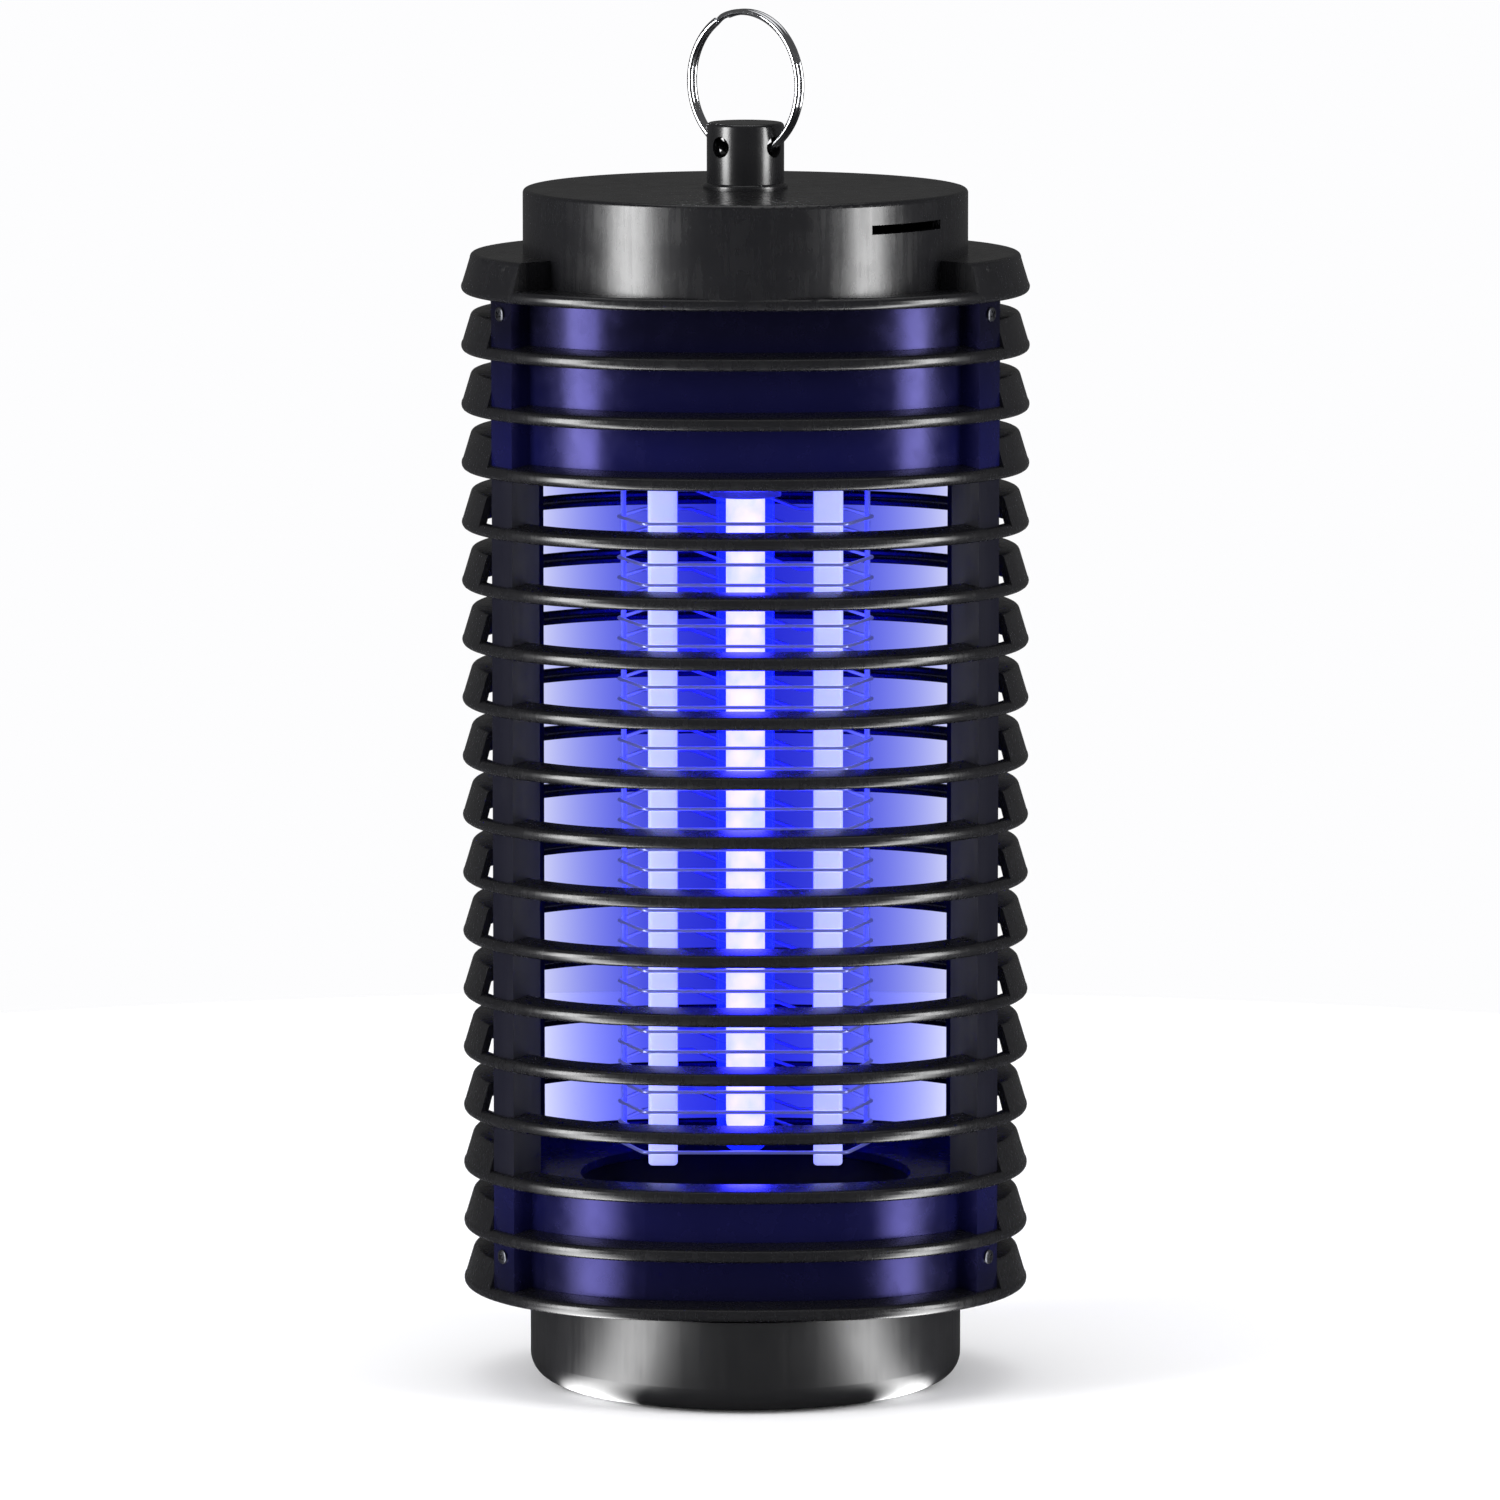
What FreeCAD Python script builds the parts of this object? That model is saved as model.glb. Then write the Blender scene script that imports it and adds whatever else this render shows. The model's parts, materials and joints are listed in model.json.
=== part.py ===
import FreeCAD, Part
import math
import os

# Louvred lantern that draws flying insects to an ultraviolet tube and kills them on a
# high-voltage wire grid. It stands on its collecting tray or hangs from its ring.
# Millimetres, +Z up, origin at the centre of the footprint on the ground, -Y is the front.

V = FreeCAD.Vector
UP = V(0, 0, 1)

# ------------------------------------------------------------------ driving dimensions
# Housing: an oval of four tangent arcs, with louvre lips stacked up it
HOUSING_WIDTH = 125.0      # across the lips, side to side
HOUSING_DEPTH = 98.6       # across the lips, front to back
FRONT_BULGE = 1.3          # how far the front arc stands proud of the side arcs' radius
LOUVRE_COUNT = 18
LOUVRE_PITCH = 13.0
LIP_HEIGHT = 2.75          # the rolled edge of a louvre, which is also its full round
SLAT_DEPTH = 6.5           # from the lip's edge in to the wall behind it
SLAT_THICKNESS = 1.6
SLAT_RISE = 1.0            # how far the slat slopes up to its inner end
WALL = 1.8                 # moulded walls of the housing
CLOSED_TOP_LOUVRES = 4     # the topmost louvres stand on a closed wall
CLOSED_BOTTOM_LOUVRES = 3  # and so do the lowest ones

# Wings: the skirt and flange that each louvre has at the two sides
WING_HEIGHT = 8.9
SKIRT_LEAN = 2.3           # how far the skirt leans in from its lip to its top
SKIRT_THICKNESS = 1.6
SKIRT_CORNER = 1.2
OPEN_WING_ANGLE = 23.4     # half angle of a wing beside the open windows
CAP_WING_ANGLE = 41.0      # half angle of the wing beside the round cap
WING_END_ANGLE = 1.6       # angle that the closing wall of the cap's wing takes

# Columns at the four corners, as sectors about the side arcs' centres
COLUMN_START = 28.5
COLUMN_END = 38.6
COLUMN_INSET = 1.5         # behind the lip's edge
COLUMN_BACK = 9.0          # inner face, behind the lip's edge

# Cap
CAP_HEIGHT = 22.9          # from the topmost lip's underside to the top
CAP_SETBACK = 0.4          # cap's wall behind the lips at the front
CAP_WALL = 2.2
CAP_TOP = 2.5
CAP_EDGE = 1.0
CAP_WING_OVERLAP = 10.4    # cap's wings reach this far inside its wall
VENT_LENGTH = 22.0
VENT_HEIGHT = 2.0
VENT_ANGLE = -43.0         # direction of the vent slot from +X
VENT_DROP = 5.0            # below the cap's top

# Hanger: hollow post with four cross holes, nut, washer and split ring
POST_RADIUS = 8.5
POST_HEIGHT = 14.4
POST_WALL = 2.0
POST_TOP = 2.5
POST_EDGE = 0.9
POST_BEAD = 0.8            # collar at the post's foot
POST_BEAD_SIDE = 0.4       # straight side of the collar
POST_STEP = 0.5            # from the post in to its stub
POST_STUB_LENGTH = 9.0
POST_HOLE_RADIUS = 2.3
POST_HOLE_DROP = 5.1       # below the post's top
NUT_ACROSS = 24.0
NUT_HEIGHT = 4.0
WASHER_RADIUS = 13.5
WASHER_THICKNESS = 1.0
RING_RADIUS = 15.6         # to the middle of the wire
RING_WIRE = 0.7            # wire radius
RING_TURN_GAP = 1.2        # between the centres of the ring's two turns
RING_ANGLE = -41.0         # direction of the chord that the ring swings about

# Cord inlet at the back of the cap
INLET_RADIUS = 3.0
GROMMET_RADIUS = 6.0
GROMMET_NECK = 4.5
GROMMET_FLANGE = 1.2
INLET_HEIGHT = 9.0         # below the cap's top

# Collecting tray and the socket that it slides up into
FOOT_RADIUS = 4.0
FOOT_PROUD = 0.5
FOOT_SUNK = 0.8
FOOT_INSET = 11.8          # foot's middle in from the tray's wall
TRAY_SETBACK = 1.5         # tray wall behind the lips at the front
TRAY_SHOWN = 20.3          # height of the tray below the housing
TRAY_GAP = 0.3             # between the tray's shoulder and the housing
TRAY_WALL = 2.2
TRAY_FLOOR = 2.5
TRAY_EDGE = 5.5            # rounding of the tray's bottom edge
NECK_WALL = 1.8
NECK_CLEARANCE = 0.35
SOCKET_WALL = 1.6
FLOOR_DROP = 3.9           # chamber floor below the top of the lower wall
FLOOR_HOLE_MARGIN = 0.6    # floor's edge inside the neck's bore

# Killing grid
GRID_HALF_WIDTH = 18.2     # to the middle of a post
GRID_HALF_DEPTH = 15.5     # to the outer face of a post
GRID_SIDE = 28.0           # to the wire's bend beside the lamp
GRID_POST_WIDTH = 6.4
GRID_POST_DEPTH = 4.0
GRID_POST_EDGE = 1.0
GRID_POST_FOOT_EDGE = 0.8
GRID_FOOT_GAP = 4.0        # posts end this far above the chamber floor
WIRE_RADIUS = 0.4
WIRE_SPACING = 4.5         # between neighbouring turns, which belong to different electrodes
WIRE_BEND = 1.5
WIRE_CORNER_GAP = 1.05     # from a post's side to the wire's corner
WIRE_START = 7.0           # lowest turn above the chamber floor
WIRE_TOP_GAP = 3.0         # clear height under the ceiling
NOTCH_DEPTH = 0.5
NOTCH_CLEARANCE = 0.05
SIDE_ROD_RADIUS = 0.6

# Lamp and lamp holder
LAMP_RADIUS = 6.35
LAMP_FLOOR_GAP = 4.2
LAMP_CAP_WALL = 1.55
LAMP_CAP_LENGTH = 12.0
LAMP_CAP_GRIP = 8.0        # glass inside the lamp's cap
LAMP_PIN_RADIUS = 1.0
LAMP_PIN_LENGTH = 5.0
LAMP_PIN_SPREAD = 3.5
HOLDER_WALL = 2.6
HOLDER_CLEARANCE = 0.15
HOLDER_DROP = 3.0          # below the ceiling
HOLDER_DEPTH = 9.0         # bore, up from the holder's mouth
HOLDER_RISE = 13.0         # above the ceiling

# Circuit board above the ceiling
BOARD_END_GAP = 17.2       # between the board and the housing's wall
BOARD_SIDE_GAP = 18.0
BOARD_THICKNESS = 1.6
BOARD_CORNER = 4.0         # hole to edge
STANDOFF_RADIUS = 3.0
STANDOFF_HEIGHT = 18.0
BOARD_SCREW_RADIUS = 1.25
BOARD_SCREW_HEAD = 2.7
BOARD_SCREW_HEAD_HEIGHT = 1.7
BOARD_SCREW_LENGTH = 8.0
BOARD_HOLE_CLEARANCE = 0.25
CORE_SIZE = (24.0, 18.0, 15.0)     # transformer's iron core
WINDING_SIZE = (16.0, 22.0, 9.0)
WINDING_LIFT = 3.0
CAPACITOR_RADIUS = 5.0
CAPACITOR_HEIGHT = 14.0
FILM_CAPACITOR_RADIUS = 3.2
FILM_CAPACITOR_HEIGHT = 11.0
DIODE_RADIUS = 1.35
DIODE_LENGTH = 5.2
RESISTOR_RADIUS = 1.2
RESISTOR_LENGTH = 6.5
TERMINAL_SIZE = (7.0, 14.0, 10.0)
PART_SPACING = 4.0         # between neighbouring small parts
PART_GAP = 4.0             # between the transformer and its neighbours

# Tie rods up the columns, and the small screws that show on the corners
ROD_RADIUS = 1.5
ROD_CLEARANCE = 0.15
ROD_INSET = 4.8            # behind the lip's edge
ROD_HEAD_RADIUS = 2.8
ROD_HEAD_HEIGHT = 2.0
ROD_BOSS_RADIUS = 3.2
ROD_GRIP = 5.0             # thread in the cap's bosses
CORNER_SCREW_RADIUS = 0.9
CORNER_SCREW_HEAD = 1.6
CORNER_SCREW_HEAD_HEIGHT = 0.7
CORNER_SCREW_LENGTH = 1.6
CORNER_SCREW_DROP = 2.6    # below the lip above it

# ------------------------------------------------------------------ derived places
half_width = HOUSING_WIDTH / 2
half_depth = HOUSING_DEPTH / 2
side_radius = half_depth - FRONT_BULGE
side_centre = half_width - side_radius
front_centre = (side_centre ** 2 - FRONT_BULGE ** 2) / (2 * FRONT_BULGE)
front_radius = half_depth + front_centre
side_span = math.degrees(math.atan2(front_centre, side_centre))
lip_radius = LIP_HEIGHT / 2

housing_bottom = FOOT_PROUD + TRAY_SHOWN + TRAY_GAP
column_middle = (COLUMN_START + COLUMN_END) / 2
wall_inside = SLAT_DEPTH + WALL


def lip_bottom(number):
    """Height of the underside of a louvre's lip, where louvre 1 is the topmost."""
    return housing_bottom + (LOUVRE_COUNT - number) * LOUVRE_PITCH


cap_bottom = lip_bottom(1) + LIP_HEIGHT - SLAT_THICKNESS
cap_radius = half_depth - CAP_SETBACK
cap_top = lip_bottom(1) + CAP_HEIGHT
upper_wall_bottom = lip_bottom(CLOSED_TOP_LOUVRES)
lower_wall_top = lip_bottom(LOUVRE_COUNT + 1 - CLOSED_BOTTOM_LOUVRES) + LIP_HEIGHT
ceiling_top = upper_wall_bottom + WALL
floor_top = lower_wall_top - FLOOR_DROP
tray_radius = half_depth - TRAY_SETBACK
socket_radius = half_depth - wall_inside
socket_bore = socket_radius - SOCKET_WALL
neck_radius = socket_bore - NECK_CLEARANCE
neck_bore = neck_radius - NECK_WALL
floor_hole = neck_bore - FLOOR_HOLE_MARGIN
post_top = cap_top + POST_HEIGHT
post_stub_radius = POST_RADIUS - POST_STEP
hole_height = post_top - POST_HOLE_DROP
board_bottom = ceiling_top + STANDOFF_HEIGHT
board_top = board_bottom + BOARD_THICKNESS
board_length = 2 * (half_width - wall_inside - BOARD_END_GAP)
board_width = 2 * (half_depth - wall_inside - BOARD_SIDE_GAP)
lamp_cap_radius = LAMP_RADIUS + LAMP_CAP_WALL
holder_radius = lamp_cap_radius + HOLDER_CLEARANCE + HOLDER_WALL
wire_face = GRID_HALF_DEPTH - NOTCH_DEPTH + WIRE_RADIUS
wire_corner = GRID_HALF_WIDTH + GRID_POST_WIDTH / 2 + WIRE_CORNER_GAP
cap_wing_depth = half_width - cap_radius + CAP_WING_OVERLAP


# ------------------------------------------------------------------ shape helpers
def profile(start, *steps):
    """Face in the XZ plane: a step is an end point, or an arc's middle and end point."""
    edges = []
    here = V(start[0], 0, start[1])
    for step in steps + (start,):
        is_arc = isinstance(step[0], tuple)
        there = V(step[-1][0], 0, step[-1][1]) if is_arc else V(step[0], 0, step[1])
        if is_arc:
            middle = V(step[0][0], 0, step[0][1])
            edges.append(Part.Arc(here, middle, there).toShape())
        elif there.distanceToPoint(here) > 1e-6:
            edges.append(Part.LineSegment(here, there).toShape())
        here = there
    return Part.Face(Part.Wire(edges))


def rounded(corner_x, corner_z, radius, from_x, from_z):
    """Arc step round a right-angled corner: it leaves along from_ and turns to the other axis."""
    centre_x = corner_x + (radius if from_x > 0 else -radius)
    centre_z = corner_z + (radius if from_z > 0 else -radius)
    reach = radius * math.sqrt(0.5)
    middle = (centre_x + math.copysign(reach, corner_x - centre_x),
              centre_z + math.copysign(reach, corner_z - centre_z))
    return middle, centre_x, centre_z


def turned(face):
    """Body of revolution about the Z axis."""
    return face.revolve(V(0, 0, 0), UP, 360)


def tube(outer, inner, bottom, top, x=0.0, y=0.0):
    """Upright tube, or a plain cylinder where inner is zero."""
    body = Part.makeCylinder(outer, top - bottom, V(x, y, bottom))
    if inner > 0:
        body = body.cut(Part.makeCylinder(inner, top - bottom, V(x, y, bottom)))
    return body


def block(x0, x1, y0, y1, z0, z1):
    return Part.makeBox(x1 - x0, y1 - y0, z1 - z0, V(x0, y0, z0))


def join(shapes):
    """One solid from touching or overlapping ones."""
    return shapes[0].multiFuse(shapes[1:]).removeSplitter()


def quadrants(shape):
    """A shape at the right front, repeated at the other three corners."""
    across = shape.mirror(V(0, 0, 0), V(0, 1, 0))
    return [shape, across] + [one.mirror(V(0, 0, 0), V(1, 0, 0)) for one in (shape, across)]


def inset_face(points):
    """Face from an outline in (inset from the lip's edge, height) terms, at the right side."""
    edge = side_centre + side_radius
    moved = []
    for point in points:
        if isinstance(point[0], tuple):
            moved.append(tuple((edge - inset, height) for inset, height in point))
        else:
            moved.append((edge - point[0], point[1]))
    return profile(moved[0], *moved[1:])


def side_sector(points, start, end):
    """Carry an inset outline round the right-hand arc, between two angles from +X."""
    face = inset_face(points)
    centre = V(side_centre, 0, 0)
    face.rotate(centre, UP, start)
    return face.revolve(centre, UP, end - start)


def front_sector(points):
    """Carry an inset outline round the front arc, which joins the two side arcs."""
    face = inset_face(points)
    centre = V(0, front_centre, 0)
    face.translate(V(front_radius - side_centre - side_radius, front_centre, 0))
    span = 90 - side_span
    face.rotate(centre, UP, -90 - span)
    return face.revolve(centre, UP, 2 * span)


def both_ends(shape):
    return [shape, shape.mirror(V(0, 0, 0), V(1, 0, 0))]


def front_and_back(shape):
    return [shape, shape.mirror(V(0, 0, 0), V(0, 1, 0))]


def ring_pieces(points):
    """An inset outline carried all round the oval."""
    return (both_ends(side_sector(points, -side_span, side_span))
            + front_and_back(front_sector(points)))


def rectangle(inset0, inset1, z0, z1):
    return [(inset0, z0), (inset0, z1), (inset1, z1), (inset1, z0)]


def oval_plate(inset, z0, z1):
    """Solid plate whose rim lies a given distance inside the lips' edge."""
    middle_radius = side_radius - inset
    points = []
    for quarter in range(4):
        start = (-side_span, side_span, 180 - side_span, 180 + side_span)[quarter]
        centre = V(side_centre if quarter in (0, 1) else -side_centre, 0, 0)
        angle = math.radians(start)
        points.append(centre + V(math.cos(angle), math.sin(angle), 0) * middle_radius)
    tips = [V(half_width - inset, 0, 0), V(0, half_depth - inset, 0),
            V(inset - half_width, 0, 0), V(0, inset - half_depth, 0)]
    edges = [Part.Arc(points[i], tips[i], points[(i + 1) % 4]).toShape() for i in range(4)]
    face = Part.Face(Part.Wire(edges))
    face.translate(V(0, 0, z0))
    return face.extrude(V(0, 0, z1 - z0))


def save(name, shape):
    solids = shape.Solids
    body = solids[0] if len(solids) == 1 else Part.makeCompound(solids)
    body.exportStep("parts/" + name + ".step")


# ------------------------------------------------------------------ louvres
def lip_outline(depth):
    """Rolled lip with a slat that slopes up behind it, from its underside at height zero."""
    full = LIP_HEIGHT
    lip = [(lip_radius, 0), ((0, lip_radius), (lip_radius, full))]
    if depth <= full:
        return lip + [(full, full), (full, 0)]
    under = full - SLAT_THICKNESS
    return lip + [(depth, full + SLAT_RISE), (depth, under + SLAT_RISE), (full, under), (full, 0)]


def lip_on_column():
    """The part of the lip that stands in front of a column."""
    drop = lip_radius - math.sqrt(lip_radius ** 2 - (lip_radius - COLUMN_INSET) ** 2)
    return [(COLUMN_INSET, drop), ((0, lip_radius), (COLUMN_INSET, LIP_HEIGHT - drop))]


def wing_outline(depth):
    """Lip, leaning skirt and flat flange of a louvre at the housing's side."""
    lean = SKIRT_LEAN / (WING_HEIGHT - lip_radius)
    start_z = WING_HEIGHT - SKIRT_CORNER
    start_x = lean * (start_z - lip_radius)
    reach = SKIRT_CORNER * math.sqrt(0.5)
    corner_x = start_x + SKIRT_CORNER
    low = lip_radius * (1 - math.sqrt(0.5))
    inner_z = WING_HEIGHT - SKIRT_THICKNESS
    inner_x = lean * (inner_z - lip_radius) + SKIRT_THICKNESS
    return [(lip_radius, 0), ((low, low), (0, lip_radius)), (start_x, start_z),
            ((corner_x - reach, start_z + reach), (corner_x, WING_HEIGHT)),
            (depth, WING_HEIGHT), (depth, inner_z), (inner_x, inner_z),
            (LIP_HEIGHT, LIP_HEIGHT), (LIP_HEIGHT, 0)]


def louvre(wing_angle, wing_depth, slat_at_sides):
    """One louvre hoop with its lip's underside at height zero."""
    plain = lip_outline(LIP_HEIGHT)
    slat = lip_outline(SLAT_DEPTH)
    beside = slat if slat_at_sides else plain
    corner = [side_sector(lip_on_column(), -COLUMN_END, -COLUMN_START),
              side_sector(slat, -side_span, -COLUMN_END)]
    if wing_angle < COLUMN_START:
        corner.append(side_sector(beside, -COLUMN_START, -wing_angle))
    pieces = [one for piece in corner for one in quadrants(piece)]
    pieces += both_ends(side_sector(wing_outline(wing_depth), -wing_angle, wing_angle))
    if slat_at_sides:
        pieces += both_ends(side_sector(slat, -wing_angle, wing_angle))
    pieces += front_and_back(front_sector(slat))
    return join(pieces)


def make_louvres():
    """Seventeen hoops: louvre 1 is moulded on the cap."""
    open_louvre = louvre(OPEN_WING_ANGLE, COLUMN_BACK, False)
    closed_louvre = louvre(COLUMN_START, SLAT_DEPTH, True)
    for number in range(2, LOUVRE_COUNT + 1):
        on_wall = (number <= CLOSED_TOP_LOUVRES
                   or number > LOUVRE_COUNT - CLOSED_BOTTOM_LOUVRES)
        hoop = (closed_louvre if on_wall else open_louvre).copy()
        hoop.translate(V(0, 0, lip_bottom(number)))
        save("louvre_%02d" % number, hoop)


# ------------------------------------------------------------------ columns and walls
def column(z0, z1):
    """Right front column between two heights."""
    return side_sector(rectangle(COLUMN_INSET, COLUMN_BACK, z0, z1), -COLUMN_END, -COLUMN_START)


def rod_place():
    """Centre of the right front tie rod."""
    angle = math.radians(column_middle)
    radius = side_radius - ROD_INSET
    return side_centre + radius * math.cos(angle), -radius * math.sin(angle)


def rod_bores(z0, z1, radius):
    x, y = rod_place()
    return quadrants(Part.makeCylinder(radius, z1 - z0, V(x, y, z0)))


def corner_screw(height):
    """Small screw in the middle of a column's face, pointing at the side arc's centre."""
    angle = math.radians(column_middle)
    outward = V(math.cos(angle), -math.sin(angle), 0)
    face = V(side_centre, 0, height) + outward * (side_radius - COLUMN_INSET)
    shank = Part.makeCylinder(CORNER_SCREW_RADIUS, CORNER_SCREW_LENGTH,
                              face - outward * CORNER_SCREW_LENGTH, outward)
    head = Part.makeCylinder(CORNER_SCREW_HEAD, CORNER_SCREW_HEAD_HEIGHT, face, outward)
    return shank, shank.fuse(head).removeSplitter()


def closed_wall(z0, z1, screw_height):
    """Closed band of the housing with the four columns running through it."""
    body = join(ring_pieces(rectangle(SLAT_DEPTH, wall_inside, z0, z1)) + quadrants(column(z0, z1)))
    bores = rod_bores(z0, z1, ROD_RADIUS + ROD_CLEARANCE)
    return body.cut(bores + quadrants(corner_screw(screw_height)[0]))


upper_screw_height = lip_bottom(1) - CORNER_SCREW_DROP
lower_screw_height = lip_bottom(LOUVRE_COUNT - 1) - CORNER_SCREW_DROP


def make_walls():
    save("upper_wall", closed_wall(upper_wall_bottom, cap_bottom, upper_screw_height))
    low = closed_wall(housing_bottom, lower_wall_top, lower_screw_height)
    recess = rod_bores(housing_bottom, housing_bottom + ROD_HEAD_HEIGHT, ROD_HEAD_RADIUS)
    save("lower_wall", low.cut(recess))
    names = ["column_front_right", "column_back_right", "column_front_left", "column_back_left"]
    bores = rod_bores(lower_wall_top, upper_wall_bottom, ROD_RADIUS + ROD_CLEARANCE)
    for name, body, bore in zip(names, quadrants(column(lower_wall_top, upper_wall_bottom)), bores):
        save(name, body.cut(bore))


def make_fasteners():
    x, y = rod_place()
    rod = join([tube(ROD_RADIUS, 0, housing_bottom, cap_bottom + ROD_GRIP, x, y),
                tube(ROD_HEAD_RADIUS, 0, housing_bottom, housing_bottom + ROD_HEAD_HEIGHT, x, y)])
    save("tie_rods", Part.makeCompound(quadrants(rod)))
    screws = []
    for height in (upper_screw_height, lower_screw_height):
        screws += quadrants(corner_screw(height)[1])
    save("corner_screws", Part.makeCompound(screws))


# ------------------------------------------------------------------ cap
def make_cap():
    """Round cap moulded in one with the topmost louvre and its two wings."""
    inside = cap_radius - CAP_WALL
    edge, edge_x, edge_z = rounded(cap_radius, cap_top, CAP_EDGE, -1, -1)
    shell = turned(profile((inside, cap_bottom), (cap_radius, cap_bottom), (cap_radius, edge_z),
                           (edge, (edge_x, cap_top)), (post_stub_radius, cap_top),
                           (post_stub_radius, cap_top - CAP_TOP), (inside, cap_top - CAP_TOP)))
    base = lip_bottom(1)
    hollow = Part.makeCylinder(inside, CAP_HEIGHT, V(0, 0, base))
    lip = join(ring_pieces(lip_outline(LIP_HEIGHT)))
    lip.translate(V(0, 0, base))
    ledge = oval_plate(lip_radius, cap_bottom, base + LIP_HEIGHT).cut(hollow)
    outline = wing_outline(cap_wing_depth)
    wing = side_sector(outline, -CAP_WING_ANGLE, CAP_WING_ANGLE)
    ends = []
    for sign in (-1, 1):
        start = sign * CAP_WING_ANGLE - (0 if sign < 0 else WING_END_ANGLE)
        closed = outline[:5] + [(cap_wing_depth, 0)]
        ends.append(side_sector(closed, start, start + WING_END_ANGLE))
    wings = both_ends(join([wing] + ends))
    for one in wings:
        one.translate(V(0, 0, base))
    within = Part.makeCylinder(cap_radius - CAP_WALL / 2, CAP_HEIGHT, V(0, 0, base))
    below = block(-half_width, half_width, -half_depth, half_depth, base, cap_bottom)
    keep_lip = oval_plate(LIP_HEIGHT, base, cap_bottom)
    wings = [one.cut([within, below.common(keep_lip)]) for one in wings]
    x, y = rod_place()
    boss_top = base + WING_HEIGHT - SLAT_THICKNESS
    bosses = quadrants(tube(ROD_BOSS_RADIUS, 0, cap_bottom, boss_top, x, y))
    body = join([shell, lip, ledge] + wings + bosses)
    vent_corner = V(cap_radius - 2 * CAP_WALL, -VENT_LENGTH / 2, cap_top - VENT_DROP - VENT_HEIGHT)
    vent_gap = Part.makeBox(3 * CAP_WALL, VENT_LENGTH, VENT_HEIGHT, vent_corner)
    vent_gap.rotate(V(0, 0, 0), UP, VENT_ANGLE)
    cuts = [vent_gap] + rod_bores(base, cap_bottom + ROD_GRIP, ROD_RADIUS)
    cuts += quadrants(column(base, cap_bottom))
    inlet_z = cap_top - INLET_HEIGHT
    back = V(0, 1, 0)
    cuts.append(Part.makeCylinder(GROMMET_NECK, 3 * CAP_WALL, V(0, inside - CAP_WALL, inlet_z), back))
    cuts.append(Part.makeCylinder(GROMMET_RADIUS, CAP_WALL, V(0, grommet_seat(), inlet_z), back))
    save("cap", body.cut(cuts))


def grommet_seat():
    """Flat seat sunk in the cap's back, so that the grommet's flange ends inside its radius."""
    return math.sqrt(cap_radius ** 2 - GROMMET_RADIUS ** 2) - GROMMET_FLANGE


def make_grommet():
    """Rubber grommet for the mains lead."""
    seat = grommet_seat()
    inner_end = cap_radius - CAP_WALL - GROMMET_FLANGE
    body = turned(profile((INLET_RADIUS, inner_end), (GROMMET_NECK, inner_end), (GROMMET_NECK, seat),
                          (GROMMET_RADIUS, seat), (GROMMET_RADIUS, seat + GROMMET_FLANGE),
                          (INLET_RADIUS, seat + GROMMET_FLANGE)))
    body.rotate(V(0, 0, 0), V(1, 0, 0), -90)
    body.translate(V(0, 0, cap_top - INLET_HEIGHT))
    save("cord_grommet", body)


# ------------------------------------------------------------------ hanger
def make_hanger():
    """Hollow post, its washer and nut under the cap, and the split ring through it."""
    edge, edge_x, edge_z = rounded(POST_RADIUS, post_top, POST_EDGE, -1, -1)
    bore = POST_RADIUS - POST_WALL
    foot = cap_top - POST_STUB_LENGTH
    collar = POST_RADIUS + POST_BEAD
    collar_top = cap_top + POST_BEAD_SIDE + POST_BEAD
    bead, bead_x, bead_z = rounded(collar, collar_top, POST_BEAD, -1, -1)
    post = turned(profile((bore, foot), (post_stub_radius, foot), (post_stub_radius, cap_top),
                          (collar, cap_top), (collar, bead_z), (bead, (bead_x, collar_top)),
                          (POST_RADIUS, edge_z), (edge, (edge_x, post_top)), (0, post_top),
                          (0, post_top - POST_TOP), (bore, post_top - POST_TOP)))
    holes = []
    for turn in (0, 90):
        angle = math.radians(RING_ANGLE + turn)
        along = V(math.cos(angle), math.sin(angle), 0)
        holes.append(Part.makeCylinder(POST_HOLE_RADIUS, 4 * POST_RADIUS,
                                       V(0, 0, hole_height) - along * 2 * POST_RADIUS, along))
    save("hanger_post", post.cut(holes))
    under = cap_top - CAP_TOP
    save("hanger_washer", tube(WASHER_RADIUS, post_stub_radius, under - WASHER_THICKNESS, under))
    corners = []
    for step in range(7):
        angle = math.radians(60 * step)
        reach = NUT_ACROSS / math.sqrt(3)
        corners.append(V(reach * math.cos(angle), reach * math.sin(angle), 0))
    nut = Part.Face(Part.makePolygon(corners)).extrude(V(0, 0, NUT_HEIGHT))
    nut.translate(V(0, 0, under - WASHER_THICKNESS - NUT_HEIGHT))
    bore = Part.makeCylinder(post_stub_radius, CAP_HEIGHT, V(0, 0, foot - CAP_TOP))
    save("hanger_nut", nut.cut(bore))
    rise = math.sqrt(RING_RADIUS ** 2 - (POST_RADIUS - POST_WALL / 2) ** 2)
    angle = math.radians(RING_ANGLE)
    across = V(-math.sin(angle), math.cos(angle), 0)
    centre = V(0, 0, hole_height + rise)
    shift = across * (RING_TURN_GAP / 2)
    turns = [Part.makeTorus(RING_RADIUS, RING_WIRE, centre + shift * side, across) for side in (-1, 1)]
    save("hanging_ring", turns[0].fuse(turns[1]).removeSplitter())


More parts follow.
